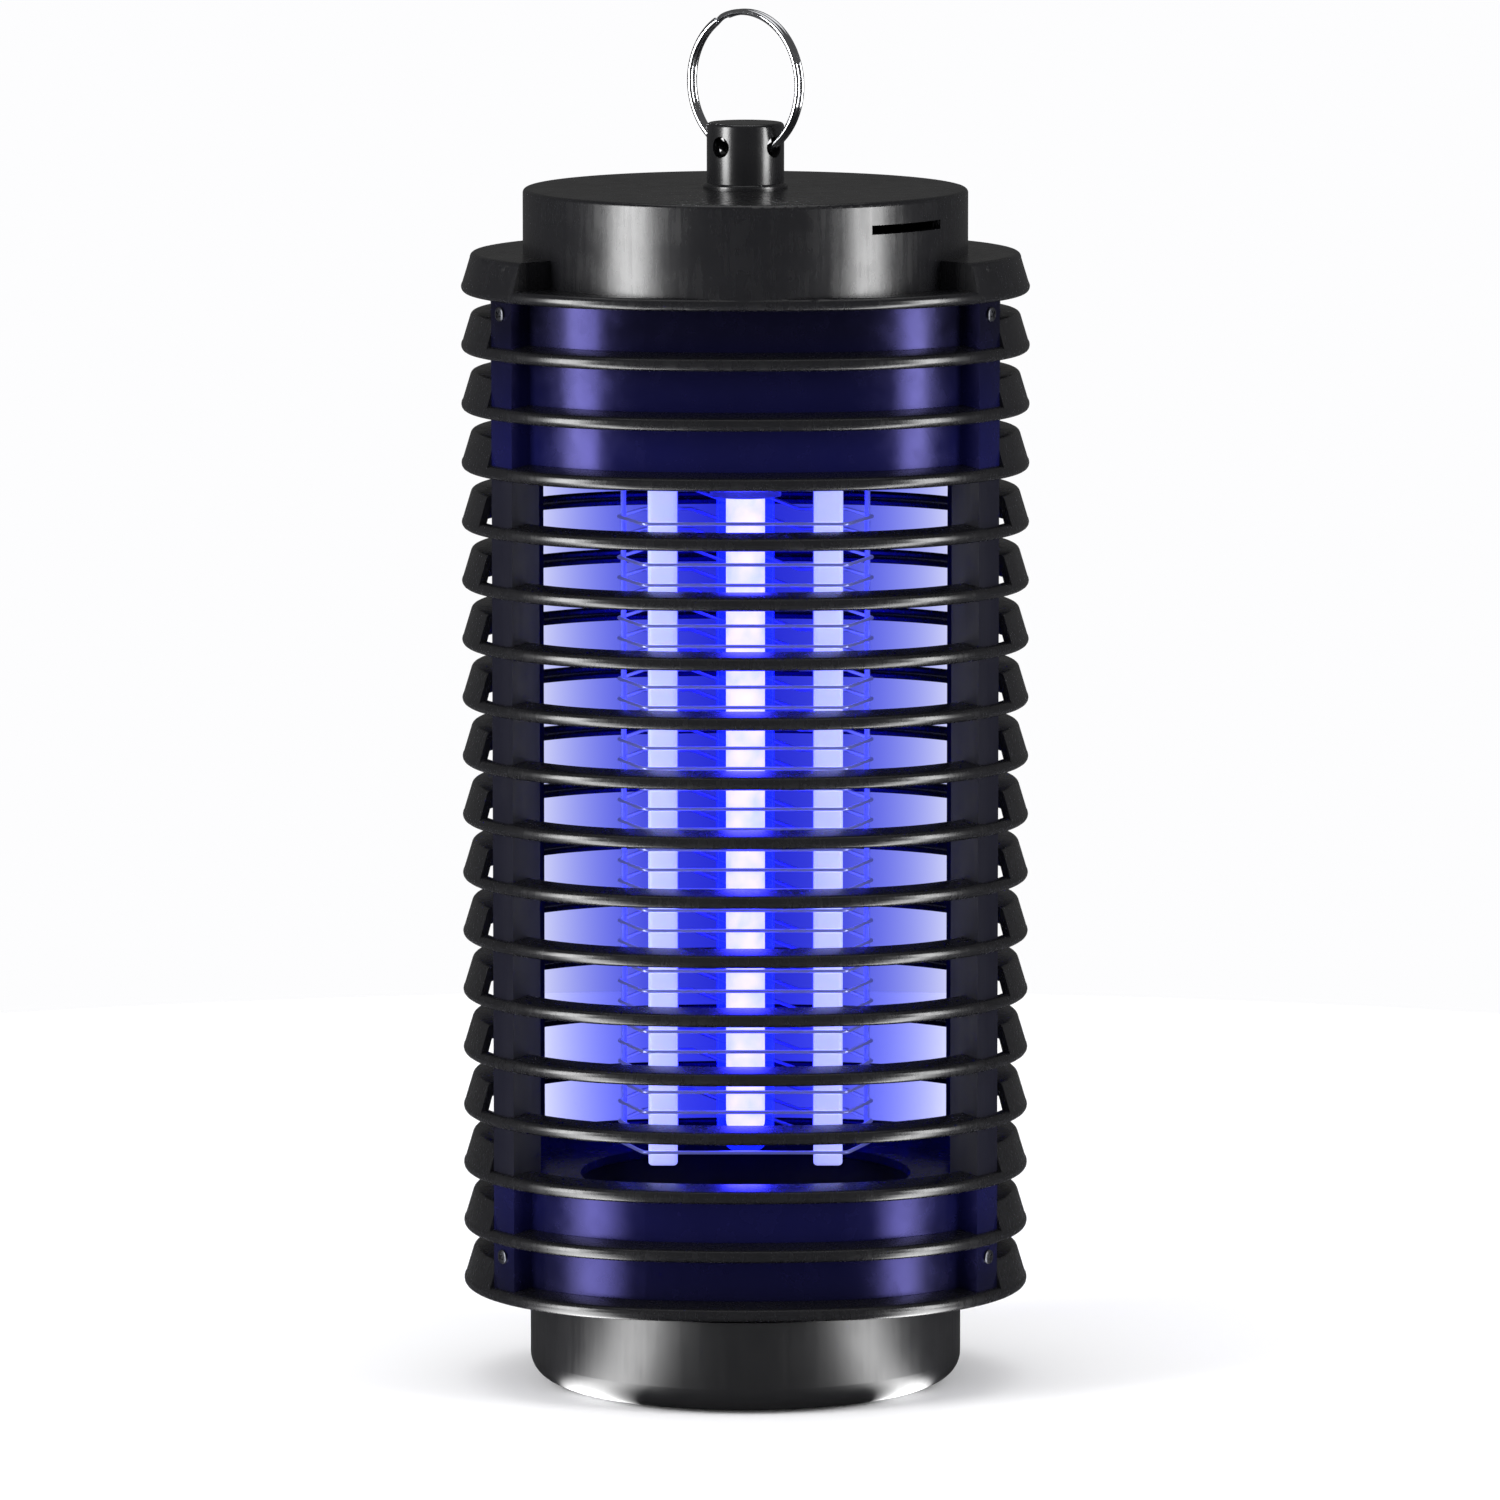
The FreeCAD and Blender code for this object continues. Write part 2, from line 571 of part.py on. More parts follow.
# ------------------------------------------------------------------ tray and its socket
def make_tray():
    """Round collecting tray: a shown cup, a shoulder and a neck that slides up into the housing."""
    bottom = FOOT_PROUD
    shoulder = bottom + TRAY_SHOWN
    neck_top = floor_top - WALL - TRAY_GAP
    edge, edge_x, edge_z = rounded(tray_radius, bottom, TRAY_EDGE, -1, 1)
    inner = tray_radius - TRAY_WALL
    inner_edge = TRAY_EDGE - TRAY_WALL
    inside, inside_x, inside_z = rounded(inner, bottom + TRAY_FLOOR, inner_edge, -1, 1)
    tray = turned(profile((0, bottom), (edge_x, bottom), (edge, (tray_radius, edge_z)),
                          (tray_radius, shoulder), (neck_radius, shoulder), (neck_radius, neck_top),
                          (neck_bore, neck_top), (neck_bore, shoulder - TRAY_WALL),
                          (inner, shoulder - TRAY_WALL), (inner, inside_z),
                          (inside, (inside_x, bottom + TRAY_FLOOR)), (0, bottom + TRAY_FLOOR)))
    foot_circle = tray_radius - FOOT_INSET
    feet = []
    for step in range(4):
        angle = math.radians(45 + 90 * step)
        feet.append(tube(FOOT_RADIUS, 0, 0, FOOT_PROUD + FOOT_SUNK,
                         foot_circle * math.cos(angle), foot_circle * math.sin(angle)))
    save("collecting_tray", tray.cut(feet))
    save("rubber_feet", Part.makeCompound(feet))


def make_socket():
    """Chamber floor with its round drop hole, the sleeve round the tray's neck, and its flange."""
    floor = oval_plate(wall_inside, floor_top - WALL, floor_top)
    sleeve = tube(socket_radius, 0, housing_bottom, floor_top)
    flange = oval_plate(wall_inside, housing_bottom, housing_bottom + WALL)
    body = join([floor, sleeve, flange])
    bore = Part.makeCylinder(socket_bore, floor_top - WALL - housing_bottom, V(0, 0, housing_bottom))
    drop = Part.makeCylinder(floor_hole, 2 * WALL, V(0, 0, floor_top - 1.5 * WALL))
    corners = quadrants(column(housing_bottom, floor_top))
    save("tray_socket", body.cut([bore, drop] + corners))


# ------------------------------------------------------------------ killing grid
def grid_post(x, y):
    """Insulating post with a rounded foot, before its notches."""
    foot = floor_top + GRID_FOOT_GAP
    inner = y - math.copysign(GRID_POST_DEPTH, y)
    body = block(x - GRID_POST_WIDTH / 2, x + GRID_POST_WIDTH / 2, min(y, inner), max(y, inner),
                 foot, ceiling_top)
    upright = [e for e in body.Edges if abs(e.Vertexes[0].Z - e.Vertexes[1].Z) > WALL]
    body = body.makeFillet(GRID_POST_EDGE, upright)
    low = [e for e in body.Edges if e.BoundBox.ZMax < foot + 0.01]
    return body.makeFillet(GRID_POST_FOOT_EDGE, low)


def wire_heights():
    """Heights of the level turns, lowest first."""
    first = floor_top + WIRE_START
    room = upper_wall_bottom - WIRE_TOP_GAP - first
    turns = 2 * int(room / (2 * WIRE_SPACING))
    return [first + WIRE_SPACING * step for step in range(turns)]


def grid_posts():
    return [grid_post(i * GRID_HALF_WIDTH, j * GRID_HALF_DEPTH) for i in (-1, 1) for j in (-1, 1)]


def rounded_path(points, radius):
    """Straight runs joined by tangent arcs."""
    edges = []
    here = points[0]
    for before, corner, after in zip(points, points[1:], points[2:]):
        into = (corner - before).normalize()
        out = (after - corner).normalize()
        turn = into.getAngle(out)
        cut = radius * math.tan(turn / 2)
        start = corner - into * cut
        end = corner + out * cut
        bisector = (out - into).normalize()
        middle = corner + bisector * (radius / math.cos(turn / 2) - radius)
        edges.append(Part.LineSegment(here, start).toShape())
        edges.append(Part.Arc(start, middle, end).toShape())
        here = end
    edges.append(Part.LineSegment(here, points[-1]).toShape())
    return Part.Wire(edges)


def wire_turn():
    """One level turn of an electrode, which climbs to the next between the back posts."""
    face = wire_face
    corner = wire_corner
    climb = 2 * WIRE_SPACING
    level = GRID_HALF_WIDTH - GRID_POST_WIDTH / 2 - 2 * WIRE_BEND
    points = [V(-GRID_HALF_WIDTH, face, 0), V(-corner, face, 0), V(-GRID_SIDE, 0, 0), V(-corner, -face, 0),
              V(corner, -face, 0), V(GRID_SIDE, 0, 0), V(corner, face, 0), V(level, face, 0),
              V(-level, face, climb), V(-GRID_HALF_WIDTH, face, climb)]
    path = rounded_path(points, WIRE_BEND)
    section = Part.Wire(Part.makeCircle(WIRE_RADIUS, points[0], V(1, 0, 0)))
    return path.makePipeShell([section], True, False)


def make_grid():
    heights = wire_heights()
    half = WIRE_RADIUS + NOTCH_CLEARANCE
    notches = []
    for height in heights:
        for side in (-1, 1):
            outer = side * (GRID_HALF_DEPTH + NOTCH_DEPTH)
            inner = side * (GRID_HALF_DEPTH - NOTCH_DEPTH)
            notches.append(block(-GRID_SIDE, GRID_SIDE, min(outer, inner), max(outer, inner),
                                 height - half, height + half))
    top = heights[-1] + WIRE_SPACING
    for height in (top, top + WIRE_SPACING):
        notches.append(block(-GRID_SIDE, 0, inner, outer, height - half, height + half))
    cutter = Part.makeCompound(notches)
    save("grid_posts", Part.makeCompound([post.cut(cutter) for post in grid_posts()]))
    turn = wire_turn()
    for name, first in (("grid_wire_live", 0), ("grid_wire_return", 1)):
        turns = []
        for height in heights[first::2]:
            one = turn.copy()
            one.translate(V(0, 0, height))
            turns.append(one)
        save(name, Part.makeCompound(turns))
    foot = heights[0] - WIRE_RADIUS
    rods = [tube(SIDE_ROD_RADIUS, 0, foot, ceiling_top, side * side_rod_place(), 0) for side in (-1, 1)]
    save("side_rods", Part.makeCompound(rods))


def side_rod_place():
    """The rods stand inside the bends of the wires and touch them."""
    half_turn = math.atan2(GRID_SIDE - wire_corner, wire_face)
    apex = GRID_SIDE - WIRE_BEND * (1 / math.cos(half_turn) - 1)
    return apex - WIRE_RADIUS - SIDE_ROD_RADIUS


# ------------------------------------------------------------------ ceiling, lamp and holder
def make_ceiling():
    """Insulating ceiling of the chamber, which carries the grid, the lamp holder and the board."""
    plate = oval_plate(wall_inside, upper_wall_bottom, ceiling_top)
    cuts = quadrants(column(upper_wall_bottom, ceiling_top)) + grid_posts()
    cuts.append(Part.makeCylinder(holder_radius, 3 * WALL, V(0, 0, upper_wall_bottom - WALL)))
    for side in (-1, 1):
        cuts.append(Part.makeCylinder(SIDE_ROD_RADIUS, 3 * WALL,
                                      V(side * side_rod_place(), 0, upper_wall_bottom - WALL)))
    save("ceiling_plate", plate.cut(cuts))


def make_lamp():
    mouth = upper_wall_bottom - HOLDER_DROP
    holder_top = ceiling_top + HOLDER_RISE
    seat = mouth + HOLDER_DEPTH
    bore = lamp_cap_radius + HOLDER_CLEARANCE
    pin_top = seat + LAMP_PIN_LENGTH
    pins = [tube(LAMP_PIN_RADIUS, 0, seat, pin_top, side * LAMP_PIN_SPREAD, 0) for side in (-1, 1)]
    holder = tube(holder_radius, 0, mouth, holder_top).cut([tube(bore, 0, mouth, seat)] + pins)
    save("lamp_holder", holder)
    cap = tube(lamp_cap_radius, 0, seat - LAMP_CAP_LENGTH, seat)
    glass_top = seat - LAMP_CAP_LENGTH + LAMP_CAP_GRIP
    glass_bottom = floor_top + LAMP_FLOOR_GAP
    round_z = glass_bottom + LAMP_RADIUS
    reach = LAMP_RADIUS * math.sqrt(0.5)
    glass = turned(profile((0, glass_bottom), ((reach, round_z - reach), (LAMP_RADIUS, round_z)),
                           (LAMP_RADIUS, glass_top), (0, glass_top)))
    save("lamp_tube", glass)
    save("lamp_cap", cap.cut(tube(LAMP_RADIUS, 0, seat - LAMP_CAP_LENGTH, glass_top)))
    save("lamp_pins", Part.makeCompound(pins))


# ------------------------------------------------------------------ circuit board
def board_corners():
    x = board_length / 2 - BOARD_CORNER
    y = board_width / 2 - BOARD_CORNER
    return [(i * x, j * y) for i in (-1, 1) for j in (-1, 1)]


def lying(radius, length, x, y):
    """Small cylinder that lies along Y on the board."""
    return Part.makeCylinder(radius, length, V(x, y - length / 2, board_top + radius), V(0, 1, 0))


def standing(radius, height, x, y):
    return tube(radius, 0, board_top, board_top + height, x, y)


def make_board():
    clear = BOARD_SCREW_RADIUS + BOARD_HOLE_CLEARANCE
    board = block(-board_length / 2, board_length / 2, -board_width / 2, board_width / 2,
                  board_bottom, board_top)
    holes = [tube(clear, 0, board_bottom, board_top, x, y) for x, y in board_corners()]
    save("circuit_board", board.cut(holes))
    standoffs = []
    screws = []
    tip = board_top - BOARD_SCREW_LENGTH
    for x, y in board_corners():
        bore = tube(BOARD_SCREW_RADIUS, 0, tip, board_bottom, x, y)
        standoffs.append(tube(STANDOFF_RADIUS, 0, ceiling_top, board_bottom, x, y).cut(bore))
        head = tube(BOARD_SCREW_HEAD, 0, board_top, board_top + BOARD_SCREW_HEAD_HEIGHT, x, y)
        screws.append(join([tube(BOARD_SCREW_RADIUS, 0, tip, board_top, x, y), head]))
    save("standoffs", Part.makeCompound(standoffs))
    save("board_screws", Part.makeCompound(screws))
    make_components()


def on_board(size, x, lift=0.0):
    """Block standing on the board, centred on a place along it."""
    half_length, half_depth_y = size[0] / 2, size[1] / 2
    return block(x - half_length, x + half_length, -half_depth_y, half_depth_y,
                 board_top + lift, board_top + lift + size[2])


def make_components():
    """Voltage multiplier and lamp ballast parts, which stand on the board."""
    save("step_up_transformer", join([on_board(CORE_SIZE, 0), on_board(WINDING_SIZE, 0, WINDING_LIFT)]))
    beside = CORE_SIZE[0] / 2 + PART_GAP
    left = -beside - CAPACITOR_RADIUS
    across = CAPACITOR_RADIUS + PART_SPACING / 2
    right = beside + PART_SPACING / 2
    cans = [standing(CAPACITOR_RADIUS, CAPACITOR_HEIGHT, left, side * across) for side in (-1, 1)]
    film = standing(FILM_CAPACITOR_RADIUS, FILM_CAPACITOR_HEIGHT, right + PART_SPACING,
                    -RESISTOR_LENGTH / 2 - PART_SPACING - FILM_CAPACITOR_RADIUS)
    save("capacitors", Part.makeCompound(cans + [film]))
    row = [right + PART_SPACING * step for step in range(4)]
    behind = RESISTOR_LENGTH / 2 + PART_SPACING + DIODE_LENGTH / 2
    save("resistors", Part.makeCompound([lying(RESISTOR_RADIUS, RESISTOR_LENGTH, x, 0) for x in row]))
    save("diodes", Part.makeCompound([lying(DIODE_RADIUS, DIODE_LENGTH, x, behind) for x in row]))
    edge = left - CAPACITOR_RADIUS - PART_SPACING / 2
    save("mains_terminal", on_board(TERMINAL_SIZE, edge - TERMINAL_SIZE[0] / 2))


# ------------------------------------------------------------------ build
os.makedirs("parts", exist_ok=True)
make_louvres()
make_walls()
make_fasteners()
make_cap()
make_grommet()
make_hanger()
make_tray()
make_socket()
make_grid()
make_ceiling()
make_lamp()
make_board()
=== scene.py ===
import json
import math

import bmesh
import bpy
from bpy.props import FloatProperty, FloatVectorProperty, IntProperty, PointerProperty
from mathutils import Matrix, Vector


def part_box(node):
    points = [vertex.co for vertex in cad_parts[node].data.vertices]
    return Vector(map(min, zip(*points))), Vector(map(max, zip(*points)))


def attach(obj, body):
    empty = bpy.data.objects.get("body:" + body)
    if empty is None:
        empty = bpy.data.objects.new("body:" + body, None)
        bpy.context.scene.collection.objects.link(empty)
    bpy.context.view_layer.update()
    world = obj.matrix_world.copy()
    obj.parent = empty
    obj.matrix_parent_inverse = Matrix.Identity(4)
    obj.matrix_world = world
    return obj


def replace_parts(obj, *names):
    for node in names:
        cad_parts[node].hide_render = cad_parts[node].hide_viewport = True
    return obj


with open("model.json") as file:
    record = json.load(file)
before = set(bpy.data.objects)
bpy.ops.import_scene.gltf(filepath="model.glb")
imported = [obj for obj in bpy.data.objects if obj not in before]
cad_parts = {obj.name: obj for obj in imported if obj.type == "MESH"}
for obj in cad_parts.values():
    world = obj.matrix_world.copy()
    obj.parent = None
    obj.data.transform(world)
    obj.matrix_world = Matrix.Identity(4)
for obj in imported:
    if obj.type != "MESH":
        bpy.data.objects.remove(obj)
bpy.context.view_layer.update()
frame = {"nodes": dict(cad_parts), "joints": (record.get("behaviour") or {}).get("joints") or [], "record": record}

bl_info = {
    "name": "Louvred insect lantern",
    "version": (1, 0, 0),
    "blender": (4, 5, 0),
    "location": "View3D > Sidebar > Lantern",
    "description": "Builds the louvres, wires, lamp and finishes of an electric insect lantern",
    "category": "Object",
}

MM = 0.001
NODES = frame["nodes"]


# ---------------------------------------------------------------- sizes that come from the frame
def low(node):
    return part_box(node)[0]


def high(node):
    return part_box(node)[1]


LIP_BOTTOMS = {number: low("louvre_%02d" % number).z for number in range(2, 19)}
HALF_WIDTH = high("louvre_10").x
HALF_DEPTH = high("louvre_10").y
OPEN_LOUVRES = range(5, 16)
CLOSED_LOUVRES = (range(2, 5), range(16, 19))


# ---------------------------------------------------------------- settings
def length(name, description, default):
    return FloatProperty(name=name, description=description, default=default, min=0.0,
                         unit="LENGTH", subtype="DISTANCE", precision=4)


def angle(name, description, degrees):
    return FloatProperty(name=name, description=description, default=math.radians(degrees),
                         subtype="ANGLE", unit="ROTATION")


def colour(name, description, code):
    value = tuple(int(code[i:i + 2], 16) / 255 for i in (1, 3, 5))
    return FloatVectorProperty(name=name, description=description, default=value, size=3,
                               min=0.0, max=1.0, subtype="COLOR_GAMMA")


class LouvreSettings(bpy.types.PropertyGroup):
    front_bulge: length("Front bulge", "How far the front arc stands proud of the side arcs", 1.3 * MM)
    lip_height: length("Lip height", "Height of the rolled lip", 2.75 * MM)
    slat_depth: length("Slat depth", "From the lip's edge in to the wall", 6.5 * MM)
    slat_thickness: length("Slat thickness", "Thickness of the slat behind the lip", 1.6 * MM)
    slat_rise: length("Slat rise", "How far the slat slopes up to its inner end", 1.0 * MM)
    wing_height: length("Wing height", "Height of the skirt at the sides", 8.9 * MM)
    skirt_lean: length("Skirt lean", "How far the skirt leans in to its top", 2.3 * MM)
    open_wing_depth: length("Wing depth", "How far in an open louvre's flange reaches", 9.0 * MM)
    open_wing_angle: angle("Open wing angle", "Half angle of a wing beside the windows", 23.4)
    closed_wing_angle: angle("Closed wing angle", "Half angle of a wing on a closed wall", 28.5)
    column_angle: angle("Column angle", "Where a slat ends inside its column", 37.6)
    column_middle: angle("Column middle", "Where the screws sit on the columns", 33.55)
    column_inset: length("Column inset", "From the lips' edge in to the column's face", 1.5 * MM)


class GridSettings(bpy.types.PropertyGroup):
    wire_radius: length("Wire radius", "Radius of the electrode wire", 0.4 * MM)
    half_depth: length("Half depth", "From the middle to the wire's line at the front", 15.4 * MM)
    half_width: length("Half width", "From the middle to the centre of a post", 18.2 * MM)
    corner: length("Corner", "From the middle to the wire's corner beside a post", 22.45 * MM)
    side: length("Side", "From the middle to the wire's bend beside the lamp", 28.0 * MM)
    bend: length("Bend", "Radius of the wire's bends", 1.5 * MM)
    spacing: length("Spacing", "Between neighbouring turns", 4.5 * MM)
    turns: IntProperty(name="Turns", description="Turns of each electrode", default=16, min=1)


class LampSettings(bpy.types.PropertyGroup):
    core_radius: length("Core radius", "Radius of the glowing column of gas", 4.3 * MM)
    strength: FloatProperty(name="Strength", description="Strength of the lamp's glow", default=26.0, min=0.0)
    light: colour("Light", "Colour of the lamp's light", "#B89CFF")


class HousingSettings(bpy.types.PropertyGroup):
    black: colour("Black", "Colour of the housing", "#0C0C0E")
    navy: colour("Navy", "Colour of the recessed walls", "#05050E")


class LanternSettings(bpy.types.PropertyGroup):
    louvres: PointerProperty(type=LouvreSettings, name="Louvres", description="Sizes of the louvres")
    grid: PointerProperty(type=GridSettings, name="Grid", description="Sizes of the electrodes")
    lamp: PointerProperty(type=LampSettings, name="Lamp", description="The lamp's look")
    housing: PointerProperty(type=HousingSettings, name="Housing", description="Colours of the housing")


def settings():
    return bpy.context.scene.lantern


# ---------------------------------------------------------------- node helpers
def srgb(code, alpha=1.0):
    """Linear colour from a sRGB hex value, or from a gamma colour property."""
    parts = [int(code[i:i + 2], 16) / 255 for i in (1, 3, 5)] if isinstance(code, str) else list(code)
    made = [c / 12.92 if c <= 0.04045 else ((c + 0.055) / 1.055) ** 2.4 for c in parts]
    return (*made, alpha)


def add(tree, kind, inputs=(), **properties):
    """Adds a node, sets its properties, and gives its inputs values or links."""
    made = tree.nodes.new(kind)
    for name, value in properties.items():
        setattr(made, name, value)
    for key, value in dict(inputs).items():
        if isinstance(value, bpy.types.NodeSocket):
            tree.links.new(value, made.inputs[key])
        else:
            made.inputs[key].default_value = value
    return made


def new_material(name, **shader):
    """Material with a Principled shader; returns it, its tree, the shader and Object coordinates."""
    material = bpy.data.materials.new(name)
    material.use_nodes = True
    tree = material.node_tree
    tree.nodes.clear()
    principled = add(tree, "ShaderNodeBsdfPrincipled")
    for key, value in shader.items():
        principled.inputs[key.replace("_", " ")].default_value = value
    output = add(tree, "ShaderNodeOutputMaterial", {"Surface": principled.outputs[0]})
    output.is_active_output = True
    place = add(tree, "ShaderNodeTexCoord").outputs["Object"]
    return material, tree, principled, place


def noise(tree, place, size_mm, detail=2.0, stretch=None):
    """Noise whose blotches are about size_mm across, stretched along one axis if asked."""
    if stretch:
        place = add(tree, "ShaderNodeMapping", {"Vector": place, "Scale": stretch}).outputs[0]
    return add(tree, "ShaderNodeTexNoise",
               {"Vector": place, "Scale": 1000.0 / size_mm, "Detail": detail}).outputs["Fac"]


def spread(tree, value, low_value, high_value, start=0.3, end=0.7):
    return add(tree, "ShaderNodeMapRange", {"Value": value, "From Min": start, "From Max": end,
                                            "To Min": low_value, "To Max": high_value}).outputs[0]


def blend(tree, value, first, second):
    mixed = add(tree, "ShaderNodeMix", {0: value, 6: srgb(first), 7: srgb(second)}, data_type="RGBA")
    return mixed.outputs[2]


def emboss(tree, shader, height, depth_mm, strength=1.0):
    bump = add(tree, "ShaderNodeBump", {"Height": height, "Distance": depth_mm * MM, "Strength": strength})
    tree.links.new(bump.outputs[0], shader.inputs["Normal"])


def feed(tree, shader, **sources):
    for key, source in sources.items():
        tree.links.new(source, shader.inputs[key.replace("_", " ")])


# ---------------------------------------------------------------- materials
def moulded(name, first, second, smooth, rough, peel_mm=1.4, peel_depth=0.006, **shader):
    """Injection-moulded plastic: two close tones, uneven polish, fine rubs and orange peel."""
    material, tree, principled, place = new_material(name, **shader)
    tone = noise(tree, place, 16.0, 3.0)
    polish = noise(tree, place, 6.0, 4.0)
    rubs = noise(tree, place, 1.1, 3.0, (1.0, 1.0, 0.06))
    both = add(tree, "ShaderNodeMath", {0: polish, 1: rubs}, operation="MULTIPLY").outputs[0]
    peel = noise(tree, place, peel_mm, 1.0)
    feed(tree, principled, Base_Color=blend(tree, tone, first, second),
         Roughness=spread(tree, both, smooth, rough, 0.1, 0.42))
    emboss(tree, principled, peel, peel_depth)
    return material


def gloss_black_abs():
    # High-gloss black ABS: almost no colour of its own, clear soft reflections, slight orange peel.
    black = settings().housing.black
    return moulded("gloss_black_abs", black, "#101013", 0.22, 0.32, IOR=1.53)


def tray_abs():
    # The tray is handled, so its gloss is duller and more rubbed than the cap's.
    return moulded("gloss_black_abs_tray", "#0B0B0D", "#121214", 0.32, 0.42, IOR=1.53)


def column_abs():
    # The columns are the same ABS with a satin texture, so that they don't mirror the lamp. Their blue-black
    # colour is painted light: the chamber's violet light on them.
    return moulded("satin_black_abs", "#050510", "#080815", 0.46, 0.58, 0.8, 0.012, IOR=1.53,
                   Specular_IOR_Level=0.14)


def wall_abs_with_painted_glow():
    # Thin black ABS walls with painted violet light: their colour turns violet and faintly glows most next to the
    # chamber, and their gloss is tinted violet; all of it stands in for the chamber's light, not a see-through
    # wall.
    glow_height = 32 * MM
    mid_height = 0.12
    material, tree, principled, place = new_material("navy_abs_wall", IOR=1.53, Emission_Strength=1.0,
                                                     Specular_IOR_Level=0.4)
    height = add(tree, "ShaderNodeSeparateXYZ", {0: place}).outputs["Z"]
    ceiling = high("ceiling_plate").z
    # Masks of painted violet light, strongest at the heights nearest the chamber.
    painted_glow_above = spread(tree, height, 1.0, 0.0, ceiling, ceiling + glow_height)
    painted_glow_below = spread(tree, height, 0.0, 1.0, low("lower_wall").z, high("lower_wall").z)
    upper = add(tree, "ShaderNodeMath", {0: height, 1: mid_height}, operation="GREATER_THAN").outputs[0]
    painted_glow_by_height = add(tree, "ShaderNodeMix", {0: upper, 2: painted_glow_below, 3: painted_glow_above}).outputs[0]
    tone = noise(tree, place, 16.0, 3.0)
    polish = noise(tree, place, 5.0, 4.0)
    painted_glow_and_tone = add(tree, "ShaderNodeMath", {0: painted_glow_by_height, 1: spread(tree, tone, 0.85, 1.0)},
                 operation="MULTIPLY").outputs[0]
    navy = settings().housing.navy
    # Painted light: the colour and the glow turn violet nearest the chamber, mixed with a random tone.
    feed(tree, principled, Base_Color=blend(tree, painted_glow_and_tone, navy, "#08092E"),
         Emission_Color=blend(tree, painted_glow_and_tone, "#000001", "#040418"),
         Roughness=spread(tree, polish, 0.2, 0.3))
    # Painted reflection colour: the gloss is tinted violet.
    principled.inputs["Specular Tint"].default_value = srgb("#9690FF")
    emboss(tree, principled, noise(tree, place, 1.4, 1.0), 0.005)
    return material


def ceiling_plastic():
    # Insulating phenolic plate: satin, nearly black, faintly speckled.
    return moulded("phenolic_plate", "#0A0A1C", "#12122A", 0.35, 0.5, 0.6, 0.01)


def post_polycarbonate():
    # Milky polycarbonate. Its glow along its whole length is painted light, standing in for the lamp's light on
    # it.
    material, tree, principled, place = new_material(
        "milky_polycarbonate", IOR=1.58, Emission_Strength=0.95, Subsurface_Weight=0.35,
        Subsurface_Scale=0.002)
    cloud = noise(tree, place, 7.0, 3.0)
    feed(tree, principled, Base_Color=blend(tree, cloud, "#DDE4FF", "#F1F4FF"),
         # Painted glow: the emission stands in for the lamp's light on the post.
         Emission_Color=blend(tree, cloud, "#D4D8FF", "#F0F1FF"),
         Roughness=spread(tree, noise(tree, place, 2.5, 3.0), 0.22, 0.38))
    emboss(tree, principled, noise(tree, place, 0.8, 2.0), 0.006)
    return material


def rod_acrylic():
    # Clear acrylic rod: pale, smooth, with fine drawn lines along it; its blue tint and faint blue glow are
    # painted lamp light.
    material, tree, principled, place = new_material(
        "drawn_acrylic", IOR=1.49, Emission_Strength=0.2)
    lines = noise(tree, place, 0.5, 2.0, (1.0, 1.0, 0.03))
    # Painted light: the blue colour and the emission stand in for the lamp's light.
    feed(tree, principled, Base_Color=blend(tree, lines, "#B9C2EE", "#E4E8FF"),
         Emission_Color=blend(tree, lines, "#5D6BE0", "#8E9AF5"),
         Roughness=spread(tree, lines, 0.08, 0.2))
    emboss(tree, principled, lines, 0.004)
    return material


def metal(name, first, second, smooth, rough, grain_mm=0.5, stretch=(1.0, 1.0, 1.0), depth=0.003,
          **shader):
    """Bare or plated metal: two close tones, uneven roughness and a fine grain."""
    material, tree, principled, place = new_material(name, Metallic=1.0, **shader)
    cloud = noise(tree, place, 5.0, 3.0)
    grain = noise(tree, place, grain_mm, 3.0, stretch)
    feed(tree, principled, Base_Color=blend(tree, cloud, first, second),
         Roughness=spread(tree, grain, smooth, rough))
    emboss(tree, principled, grain, depth)
    return material


def nickel_wire():
    # Nickel-plated spring wire: bright, with faint lines from the drawing die.
    # The faint glow stands for the tube's own light on it, which the dimmed reflections leave out.
    return metal("nickel_plated_wire", "#C4C7D0", "#E6E8EE", 0.28, 0.42, 0.25, (0.1, 1.0, 1.0),
                 Emission_Strength=0.3, Emission_Color=srgb("#C2C6FF"))


def chrome_ring():
    # Chrome-plated steel: mirror-like, with small smudges from handling.
    return metal("chrome_plated_steel", "#D2D4D8", "#ECEDF0", 0.04, 0.14, 1.2, depth=0.001)


def zinc_steel():
    # Zinc-plated steel: pale grey, slightly cloudy.
    return metal("zinc_plated_steel", "#8E9196", "#B4B7BC", 0.28, 0.45, 0.4)


def screw_steel():
    # Black-oxide screws: dark grey, dull gloss.
    return metal("black_oxide_steel", "#3A3B3F", "#5A5B60", 0.3, 0.45, 0.3)


def turned_brass():
    # Turned brass: yellow, with rings from the tool.
    return metal("turned_brass", "#A98B4A", "#CDB26A", 0.2, 0.38, 0.3, (1.0, 1.0, 4.0))


def laminated_iron():
    # Varnished iron laminations, 0.5 mm sheets stacked along Y.
    material, tree, principled, place = new_material("varnished_laminations", Metallic=0.6)
    sheets = add(tree, "ShaderNodeTexWave", {"Vector": place, "Scale": 2000.0 / (2 * math.pi),
                                             "Distortion": 0.4}, bands_direction="Y").outputs["Fac"]
    feed(tree, principled, Base_Color=blend(tree, sheets, "#15120F", "#3B3129"),
         Roughness=spread(tree, noise(tree, place, 3.0, 3.0), 0.35, 0.6))
    emboss(tree, principled, sheets, 0.05)
    return material


def gloss_enamel():
    # Black enamel over turned steel: soft gloss with wide highlights and a slight unevenness.
    return moulded("gloss_black_enamel", "#0B0B0D", "#161618", 0.22, 0.32, 0.9, 0.003, IOR=1.5,
                   Coat_Weight=0.25, Coat_Roughness=0.2)


